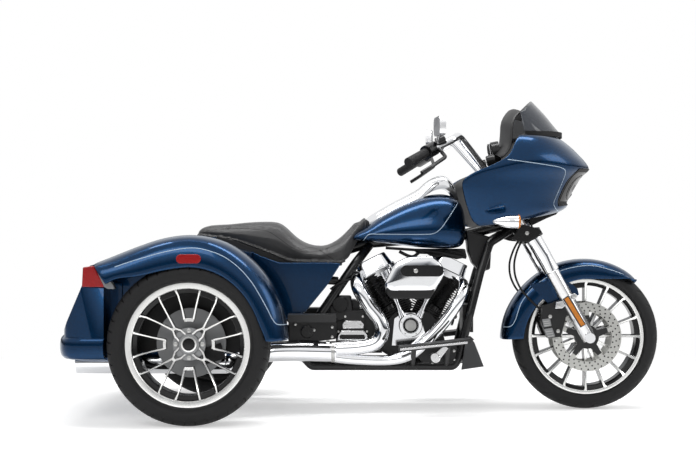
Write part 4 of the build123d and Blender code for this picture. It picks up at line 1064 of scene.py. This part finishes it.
# Fuel tank: two welded halves in a teardrop, fat at the front, with a flat underside over the frame.
# columns: x, half width, bottom z, top z (mm)
TANK = [(-50, 84, 741, 762), (-42, 98, 738, 774), (10, 114, 735, 802), (60, 127, 729, 841),
        (130, 141, 722, 882), (200, 155, 712, 914), (270, 163, 706, 936), (330, 165, 703, 944),
        (380, 155, 704, 934), (415, 134, 712, 908), (432, 104, 732, 872), (439, 60, 770, 830)]
# columns: share of the half width, share of the height; from the top middle round to the bottom middle
TANK_SECTION = [(0, 1), (0.3, 0.99), (0.56, 0.94), (0.76, 0.83), (0.9, 0.66), (0.985, 0.46), (1.0, 0.3),
                (0.96, 0.15), (0.85, 0.04), (0.62, 0), (0.3, 0), (0, 0)]
fuel_tank = piece("fuel_tank_welded", closed_loft(TANK, TANK_SECTION), [blue_paint], "fuel_tank",
                  smooth=1, sharp=60)


# ---- Fairing ---------------------------------------------------------------------------------------
# Frame-mounted fairing: one moulded ABS shell, pointed over a wide headlamp opening and painted blue.
# It is bolted to the headstock bracket and stays put in turns.
# columns: rear x, rear z, nose x, nose z, half width (mm), from the lower lip to the screen's base
FAIRING = [(472, 797, 848, 862, 318), (452, 812, 878, 878, 338), (433, 842, 890, 893, 356),
           (412, 900, 886, 908, 378), (398, 955, 912, 960, 394), (400, 990, 945, 1012, 399),
           (446, 1022, 980, 1043, 398), (500, 1044, 981, 1060, 393), (560, 1072, 962, 1086, 383),
           (598, 1100, 938, 1110, 367), (618, 1140, 912, 1136, 345), (638, 1176, 872, 1168, 318),
           (650, 1186, 852, 1181, 292)]
TURN_STEPS = 32


def fairing_point(row, share, out=0.0):
    """Point on the shell: share runs from -1 at the right rear edge, through 0 at the nose, to 1."""
    rear_x, rear_z, nose_x, nose_z, half = row
    turn = share * pi / 2
    fore = abs(cos(turn)) ** 1.12
    aside = abs(sin(turn)) ** 0.92
    x = rear_x + (nose_x - rear_x) * fore
    y = copysign(half * aside, share)
    z = rear_z + (nose_z - rear_z) * fore ** 1.3
    reach = Vector((fore, aside)).normalized() * out
    return ((x + reach.x) * MM, (y + copysign(reach.y, share)) * MM, z * MM)


fairing_rows = smooth_rows(FAIRING, 2)
bm = bmesh.new()
skin(bm, [[fairing_point(row, -1 + 2 * k / TURN_STEPS) for k in range(TURN_STEPS + 1)]
          for row in fairing_rows])
fairing = shell("fairing_shell", bm, 4 * MM, "fairing")


# ---- Fairing trim, headlamps and screen ------------------------------------------------------------
# Two round lamps show in one smoked lens with a rubber edge, across the nose. A smoked screen stands on
# the shell, its foot on a rubber strip, and a moulded dash with four gauges closes the back.


def lens_finish(name, code, rough=0.12, prism=6):
    """Moulded lamp lens: strong colour, prisms a few mm across inside, glossy outside."""
    mat, tree = surface(name)
    place = add(tree, "ShaderNodeTexCoord").outputs["Object"]
    prisms = add(tree, "ShaderNodeTexVoronoi", {"Vector": place,
                                                "Scale": 1 / (prism * MM)}).outputs["Distance"]
    shade(tree, {"Base Color": two_tone(tree, prisms, tone(code, 0.75), linear(code)), "Roughness": rough,
                 "Coat Weight": 0.4, "Coat Roughness": 0.04, "Specular IOR Level": 0.3},
          relief(tree, prisms, 0.15, 1 * MM))
    return mat


def tinted_screen(name, code):
    """Smoked polycarbonate: clear through, grey in thickness, with faint polishing haze."""
    mat, tree = surface(name)
    place = add(tree, "ShaderNodeTexCoord").outputs["Object"]
    haze = add(tree, "ShaderNodeTexNoise", {"Vector": place, "Scale": 8.0})
    shade(tree, {"Base Color": linear(code), "Roughness": drift(tree, haze.outputs["Fac"], (0.02, 0.06)),
                 "Alpha": 0.78})
    return mat


def caster(*objects):
    """The surfaces of these finished objects, ready for rays."""
    graph = bpy.context.evaluated_depsgraph_get()
    graph.update()
    return [BVHTree.FromObject(obj, graph) for obj in objects]


def hit(trees, start, toward):
    """First point met on any of the surfaces, and its normal turned back along the ray."""
    found = None
    way = (Vector(toward) - Vector(start)).normalized()
    for tree in trees:
        spot, normal, _, distance = tree.ray_cast(Vector(start), way)
        if spot is not None and (found is None or distance < found[0]):
            found = (distance, spot, normal if normal.dot(way) < 0 else -normal)
    return found and found[1:]


def ribbon(bm, spots, wide, lift, loop=False, mirror=False, mat=0):
    """A flat band of paint or tape along (point, normal) pairs."""
    for sign in ((1, -1) if mirror else (1,)):
        pairs = []
        for k, (spot, normal) in enumerate(spots):
            ahead = spots[(k + 1) % len(spots) if loop else min(k + 1, len(spots) - 1)][0]
            behind = spots[(k - 1) % len(spots) if loop else max(k - 1, 0)][0]
            across = (ahead - behind).cross(normal).normalized() * wide / 2
            raised = spot + normal * lift
            pairs.append([bm.verts.new((p.x, sign * p.y, p.z)) for p in (raised - across, raised + across)])
        count = len(pairs)
        for k in range(count if loop else count - 1):
            one, two = pairs[k], pairs[(k + 1) % count]
            face = bm.faces.new((one[0], one[1], two[1], two[0]))
            face.material_index = mat


def moulded_plastic(name, code, rough):
    """Moulded ABS: an even colour with a fine spark-eroded grain and slightly uneven gloss."""
    return finish(name, linear(code), tone(code, 1.35, 0.001), (18.0, 4.0), (rough - 0.06, rough + 0.08),
                  1 / (1.2 * MM), (0.12, 0.1 * MM))


black_abs = moulded_plastic("textured_black_abs", "141415", 0.5)
clear_lens = powder_coat("smoked_polycarbonate_lens", "040405", 0.22)
lamp_glass = lens_finish("fluted_lamp_glass", "17191b", 0.3, 9)
edge_rubber = rubber_finish("extruded_edge_rubber", "0d0d0e")
smoke = tinted_screen("smoked_polycarbonate_screen", "3d4148")
lens_rows = [row for row in smooth_rows(FAIRING, 6) if 905 <= row[3] <= 1038]
LENS_SHARE = 0.29
bm = bmesh.new()
for mat, grow, out in ((0, 0.0, 2.2), (1, 0.022, 1.0)):
    rows = lens_rows if mat == 0 else [row for row in smooth_rows(FAIRING, 6) if 893 <= row[3] <= 1050]
    sheet = [[fairing_point(row, (-1 + 2 * k / 24) * (LENS_SHARE + grow), out) for k in range(25)]
             for row in rows]
    skin(bm, sheet, mat)
lens = piece("headlamp_lens", bm, [clear_lens, edge_rubber], "headlights")
lens_skin = caster(lens)
bm = bmesh.new()
for side in (-1, 1):
    for radius, wide, lift, mat in ((62, 8, 1.4, 0), (29, 50, 0.9, 1), (8, 14, 1.8, 0)):
        ring = []
        for k in range(40):
            turn = tau * k / 40
            y, z = (side * 92 + radius * cos(turn)) * MM, (968 + radius * 0.82 * sin(turn)) * MM
            ring.append(hit(lens_skin, (1.4, y, z), (0, y, z)))
        if all(ring):
            ribbon(bm, ring, wide * MM, lift * MM, loop=True, mat=mat)
piece("round_headlamps", bm, [black_gloss, lamp_glass], body="chassis")

SCREEN = [(676, 1192, 864, 1196, 250), (668, 1222, 826, 1240, 247), (662, 1255, 783, 1292, 241),
          (658, 1286, 727, 1350, 232)]
SCREEN_ROWS = smooth_rows(SCREEN, 4)
bm = bmesh.new()
skin(bm, [[fairing_point(row, -1 + 2 * k / 28) for k in range(29)] for row in SCREEN_ROWS])
shell("windscreen_sheet", bm, 4 * MM, "windscreen", materials=[smoke])
bm = bmesh.new()
foot = [Vector(fairing_point(SCREEN_ROWS[0], -1 + 2 * k / 28, 1)) for k in range(29)]
skin(bm, [[p + Vector((0, 0, z * MM)) for p in foot] for z in (-10, 12)])
piece("screen_foot_rubber", bm, [edge_rubber], body="chassis")

# Inner fairing: a black moulded dash closes the back of the shell, under a hood over the instruments
bm = bmesh.new()
sheet = []
for row in fairing_rows:
    half = row[4] - 8
    sheet.append([((row[0] + 14 + 90 * (1 - (k / 10) ** 2)) * MM, half * k / 10 * MM, (row[1] + 2) * MM)
                  for k in range(-10, 11)])
skin(bm, sheet)
HOOD = [(557, 1113, 196), (592, 1152, 205), (601, 1205, 205), (606, 1264, 196), (634, 1308, 168),
        (660, 1306, 150), (700, 1288, 128)]
sheet = []
for x, z, half in smooth_rows(HOOD, 3):
    sheet.append([((x + 26 * (k / 8) ** 2) * MM, half * k / 8 * MM, (z - 22 * abs(k / 8) ** 3) * MM)
                  for k in range(-8, 9)])
skin(bm, sheet)
inner = piece("inner_fairing_dash", bm, [black_abs], "dash", sharp=50)
wall = inner.modifiers.new("wall", "SOLIDIFY")
wall.thickness = 4 * MM
wall.offset = 0
for name, y, z, r in (("speed", -62, 1128, 45), ("engine", 62, 1128, 45), ("left", 200, 1084, 22),
                      ("right", -200, 1084, 22)):
    x = 556 if r > 30 else 522
    turned(f"{name}_gauge", [((x + 30, y, z), r), ((x - 2, y, z - 6), r), ((x - 5, y, z - 6), r - 3),
                             ((x - 4, y, z - 6), r - 5), ((x, y, z - 5), r - 6)], black_gloss,
           "black_plastic", mats=[0, 0, 1, 0], materials=[black_gloss, chrome])


# ---- Rear body trim, lamps and small panels --------------------------------------------------------
# The fibreglass luggage body with its lid, bumper, lamps in grey bezels and black wheel-well liners,
# then the tank console, controls, mirrors, footboards and reflectors.
red_lens = lens_finish("moulded_red_acrylic", "a3060c")
amber_lens = lens_finish("moulded_amber_acrylic", "d9821e")
gloss_abs = moulded_plastic("gloss_black_abs", "0c0c0e", 0.2)
grey_abs = moulded_plastic("grey_bezel_abs", "7d7f82", 0.4)


def round_tail_corners(bm):
    """A wide radius down the two rear corners of the luggage body."""
    corners = [e for e in bm.edges if all(abs(v.co.y) > 0.6385 and v.co.x < -1.10 and v.co.z < 0.557
                                          for v in e.verts)
               and abs(e.verts[0].co.z - e.verts[1].co.z) > 0.06]
    bmesh.ops.bevel(bm, geom=corners, offset=62 * MM, segments=7, profile=0.5, affect="EDGES")


rear_hull = finished("rear_body", blue_paint, "blue_paint", 6, shape=round_tail_corners)

# Wheel wells: black moulded liners inside the arches, the blue panel between body and tyre, the seat pan
for sign in (-1, 1):
    hand = "right" if sign < 0 else "left"
    arch = [(-710 + 318 * cos(turn), 325 + 318 * sin(turn)) for turn in
            (radians(-8 + 196 * k / 40) for k in range(41))]
    plate(f"wheel_well_liner_{hand}", arch, sign * 441, sign * 446, satin_black, "black_plastic", edge=0)
    plate(f"quarter_panel_{hand}", [(-1090, 566), (-1000, 566), (-1000, 300), (-1020, 268), (-1100, 268)],
          sign * 447, sign * 452, blue_paint, "blue_paint", edge=1)
    bezel = [(-1078, 636), (-1062, 634), (-1006, 566), (-1000, 548), (-1026, 548), (-1040, 556)]
    plate(f"taillight_bezel_{hand}", bezel, sign * 600, sign * 656, grey_abs, "grey_plastic", edge=2)
plate("seat_pan", [(-640, 760), (-560, 738), (-470, 704), (-390, 674), (-300, 654), (-100, 652), (-100, 630),
                   (-640, 630)], -132, 132, satin_black, "black_plastic", edge=4)
finished("trunk_lid", blue_paint, "blue_paint", 3)

# Bumper: a painted band that wraps the tail from tyre to tyre, rolled in at its top and bottom
BUMPER_PATH = [(-1046, 646), (-1110, 646), (-1160, 640), (-1204, 616), (-1230, 570), (-1248, 480),
               (-1266, 320), (-1278, 160), (-1282, 0)]
half_band = smooth_rows(BUMPER_PATH, 4)
band = half_band + [(x, -y) for x, y in reversed(half_band[:-1])]
bm = bmesh.new()
lips = ((262, 34), (266, 14), (276, 4), (300, 0), (328, 0), (344, 3), (352, 9), (354, 22))
skin(bm, [[((x + inset * (1.0 if x < -1200 else 0.6)) * MM, y * (1 - inset / 900) * MM, z * MM)
           for x, y in band] for z, inset in lips])
shell("rear_bumper_band", bm, 4 * MM, "rear_bumper")
for node, material, slot, edge in (
        ("taillights", red_lens, "red_lens", 4), ("side_markers", red_lens, "red_lens", 4),
        ("plate_bracket", black_abs, "black_paint", 2), ("side_covers", blue_paint, "blue_paint", 5)):
    finished(node, material, slot, edge)

# Tank console: one chromed pressing down the middle of the tank, domed over the filler at the front
# columns: x, half width, top z (mm)
CONSOLE = [(-4, 18, 826), (30, 38, 851), (67, 48, 873), (120, 54, 903), (180, 57, 934), (232, 59, 962),
           (262, 60, 990), (296, 61, 1012), (326, 61, 1022), (352, 60, 1021), (378, 57, 1000), (398, 50, 968),
           (410, 40, 930)]
bm = bmesh.new()
rows = []
for x, half, top in smooth_rows(CONSOLE, 3):
    section = [(0, 1), (0.35, 0.985), (0.66, 0.93), (0.88, 0.8), (1, 0.55), (1.03, 0)]
    low = top - 58
    side_line = [(half * a, low + (top - low) * b) for a, b in section]
    rows.append([(x * MM, y * MM, z * MM) for y, z in side_line[::-1] + [(-y, z) for y, z in side_line[1:]]])
skin(bm, rows)
console = piece("tank_console_pressing", bm, [chrome], "tank_console", smooth=1, sharp=60)
console_skin = caster(console)
bm = bmesh.new()
rim = [((322 + 46 * cos(turn)) * MM, 46 * sin(turn) * MM) for turn in turns(48)]
door = [hit(console_skin, (x, y, 1.3), (x, y, 0)) for x, y in rim]
ribbon(bm, door, 2.2 * MM, 0.3 * MM, loop=True)
piece("filler_door_seam", bm, [black_abs], body="chassis")
bullet = [(524, 2), (528, 7), (540, 13), (556, 19), (576, 24), (600, 27), (626, 27.5), (629, 28.5),
          (633, 28.5), (634, 26.5), (637, 25), (639, 18)]
turned("turn_signal_bullets", [[((x, y, 818), r) for x, r in bullet] for y in (-405, 405)], *CHROMED,
       node="turn_signals", mats=[0] * 7 + [1] * 4, materials=[chrome, amber_lens])
for node, material, slot, edge in (
        ("handlebar", chrome, "chrome", 1),
        ("grips", rubber_finish("moulded_grip_rubber", "131314"), "rubber", 2),
        ("bar_controls", gloss_abs, "black_plastic", 3),
        ("mirrors", metal_finish("satin_mirror_shell", "f4f4f5", 0.34, 1.0, 0.05), "chrome", 6),
        ("footboards", black_abs, "rubber", 3), ("passenger_footboards", black_abs, "rubber", 4),
        ("brake_pedal", polished_alloy, "alloy", 3), ("shift_lever", chrome, "chrome", 2),
        ("chin_spoiler", moulded_plastic("charcoal_moulded_abs", "2c2d2f", 0.45), "grey_plastic", 3),
        ("rear_calipers", satin_black, "black_paint", 3)):
    finished(node, material, slot, edge)
plate("board_edge", [(143, 288), (426, 318), (426, 309), (143, 279)], -338, -346, *ALLOY, edge=1.5,
      both=True)
reflector = [(856, 487), (872, 496), (944, 379), (928, 370)]
plate("reflector_frame", [(850, 487), (874, 502), (950, 378), (926, 364)], -150, -158.5, black_abs,
      "black_plastic", "steering", 1, both=True)
plate("amber_reflector", reflector, -157, -160.5, amber_lens, "lamp_lens", "steering", 0.6, both=True)


# ---- Seat ------------------------------------------------------------------------------------------
# Two-up seat: moulded foam under a vinyl cover, stepped between rider and passenger. The top panel is
# sewn to the side band with a seam all round, and the nose laps over the back of the tank.
# columns: x, half width, bottom z, top z (mm)
SEAT = [(-738, 70, 762, 776), (-724, 108, 758, 786), (-672, 132, 752, 800), (-600, 140, 745, 804),
        (-520, 146, 722, 812), (-440, 150, 690, 816), (-380, 152, 664, 812), (-344, 154, 650, 790),
        (-310, 160, 643, 756), (-270, 172, 640, 728), (-220, 176, 639, 712), (-165, 172, 639, 714),
        (-115, 156, 641, 740), (-82, 138, 648, 770),
        (-58, 104, 700, 796), (-35, 76, 742, 827), (-12, 58, 776, 848), (2, 44, 792, 845)]
# columns: share of the half width, share of the height; from the top middle to the bottom middle
SEAT_SECTION = [(0, 1), (0.3, 0.99), (0.58, 0.95), (0.8, 0.85), (0.93, 0.7), (1.0, 0.5), (0.985, 0.28),
                (0.95, 0.08), (0.86, 0), (0.4, 0), (0, 0)]


def leather_finish(name, code):
    """Vinyl seat cover: a pebbled grain 2.5 mm across and softer gloss in 60 mm clouds."""
    return finish(name, linear(code), tone(code, 1.5), (1 / (60 * MM), 4.0), (0.42, 0.58), 1 / (2.5 * MM),
                  (0.35, 0.5 * MM), {"Sheen Weight": 0.15}, pebbled=True)


COVER_PRESSURE = 4.0
COVER_FRAMES = 20


def padded_cover(form, voxel, under, reach):
    """Swells a closed form like a stuffed cover: cloth at a pressure, started a little under size (m). No
    point ends further than the reach from where it started, and the flat underside stays where it rests."""
    bmesh.ops.remove_doubles(form, verts=form.verts, dist=0.01 * MM)
    bmesh.ops.recalc_face_normals(form, faces=form.faces)
    mesh = bpy.data.meshes.new("cover")
    form.to_mesh(mesh)
    cover = placed("cover", mesh)
    cells = cover.modifiers.new("cells", "REMESH")
    cells.mode = "VOXEL"
    cells.voxel_size = voxel
    even = baked(cover)
    cover.modifiers.clear()
    cover.data = even
    outward = [v.normal.copy() for v in even.vertices]
    for vert, way in zip(even.vertices, outward):
        vert.co -= way * under
    start = [v.co.copy() for v in even.vertices]
    cloth = cover.modifiers.new("cloth", "CLOTH")
    cloth.settings.use_pressure = True
    cloth.settings.uniform_pressure_force = COVER_PRESSURE
    cloth.settings.effector_weights.gravity = 0
    cloth.point_cache.frame_start, cloth.point_cache.frame_end = 1, COVER_FRAMES
    for frame_number in range(1, COVER_FRAMES + 1):
        bpy.context.scene.frame_set(frame_number)
    full = cover.evaluated_get(bpy.context.evaluated_depsgraph_get()).to_mesh()
    moved = [v.co.copy() for v in full.vertices]
    cover.modifiers.clear()
    bpy.context.scene.frame_set(1)
    for vert, way, here, there in zip(even.vertices, outward, start, moved):
        step = there - here
        if step.length > reach:
            step = step.normalized() * reach
        vert.co = here + (step if way.z > -0.6 else way * under)
    form = bmesh.new()
    form.from_mesh(even)
    bpy.data.objects.remove(cover)
    return form


seat_vinyl = leather_finish("pebbled_seat_vinyl", "232324")
bm = closed_loft(SEAT, SEAT_SECTION)
bm = padded_cover(bm, 6 * MM, 4 * MM, 9 * MM)
seat = piece("seat_cushion", bm, [seat_vinyl], "seat", smooth=1, sharp=80)


# ---- Pinstripes ------------------------------------------------------------------------------------
# Hand-laid vinyl tape, 3 mm wide, in silver grey. Each line follows the edge of its panel a little way
# in and is the same on both sides. The seat's seam and welt are laid alike, in thread 2.2 mm wide.
SILVER_TAPE = powder_coat("silver_pinstripe_tape", "9fb0c0", 0.4)
VIEW_UNIT = CAMERA_BACK / FOCAL_PX


def stripe(name, panels, points, body, wide=3.0, lift=0.5, material=SILVER_TAPE):
    """Tape laid on the panels; points are (across, down) as the camera sees the middle plane."""
    trees = caster(*panels)
    eye = Vector((CAMERA_X, -CAMERA_BACK, CAMERA_HEIGHT))
    spots = []
    for across, down in smooth_rows(points, 6):
        aim = (CAMERA_X + (across - VIEW_W / 2) * VIEW_UNIT, 0,
               CAMERA_HEIGHT + (HORIZON_ROW - down) * VIEW_UNIT)
        found = hit(trees, eye, aim)
        if found:
            spots.append(found)
    bm = bmesh.new()
    ribbon(bm, spots, wide * MM, lift * MM, mirror=True)
    return piece(name, bm, [material], body=body, sharp=60)


for name, panels, body, points in (
        ("front_fender_pinstripe", [front_fender], "steering",
         [(503.3, 326.9), (510.6, 326.3), (515.4, 319.7), (521.5, 302.7), (532.4, 288.2), (544.5, 278.8),
          (557.9, 271.8), (574.8, 267), (593, 265.7), (611.2, 270), (623.3, 274.2)]),
        ("rear_fender_pinstripe", [rear_fender["right"]], "chassis",
         [(114.7, 267), (128, 262.4), (142.9, 257.9), (160, 253), (176, 249.6), (190, 248), (201, 248.8),
          (214, 252.5), (225.8, 257.9), (239, 268), (250.7, 281.1), (259.5, 295), (267.3, 309.3),
          (272, 318.5), (277.2, 324.3), (287.2, 324.3)]),
        ("tank_pinstripe", [fuel_tank], "chassis",
         [(459.2, 200.6), (453.5, 210), (447.3, 219.7), (441.2, 228.1), (433.6, 233.5), (420, 234.4),
          (400, 234.3), (380, 234.2), (368.9, 234.5), (363.5, 240.6)]),
        ("fairing_pinstripe", [fairing], "chassis",
         [(507.9, 159.4), (525, 161.6), (543, 164.2), (561.3, 167.7), (565.3, 172.9), (560.5, 186.5),
          (554.1, 201.6), (554.9, 207.2), (558.5, 211.6)]),
        ("scoop_outline", [rear_hull, rear_fender["right"]], "chassis",
         [(197.6, 234.7), (208, 232.4), (219.2, 232.2), (231, 235.2), (239.9, 239.7), (238.3, 246.3)])):
    stripe(name, panels, points, body)
SEAM_THREAD = rubber_finish("bonded_seam_thread", "050505")
stripe("seat_seam", [seat], [(300, 249.5), (311.5, 247.5), (320, 250.5), (328, 256), (336.7, 261.3)],
       "chassis", 2.2, 0.3, SEAM_THREAD)
stripe("seat_welt", [seat], [(206, 231), (230, 228.5), (252, 229), (268, 231.5), (280, 239), (292, 247.5),
                             (305, 252), (322, 250), (340, 243)], "chassis", 2.2, 0.3, SEAM_THREAD)
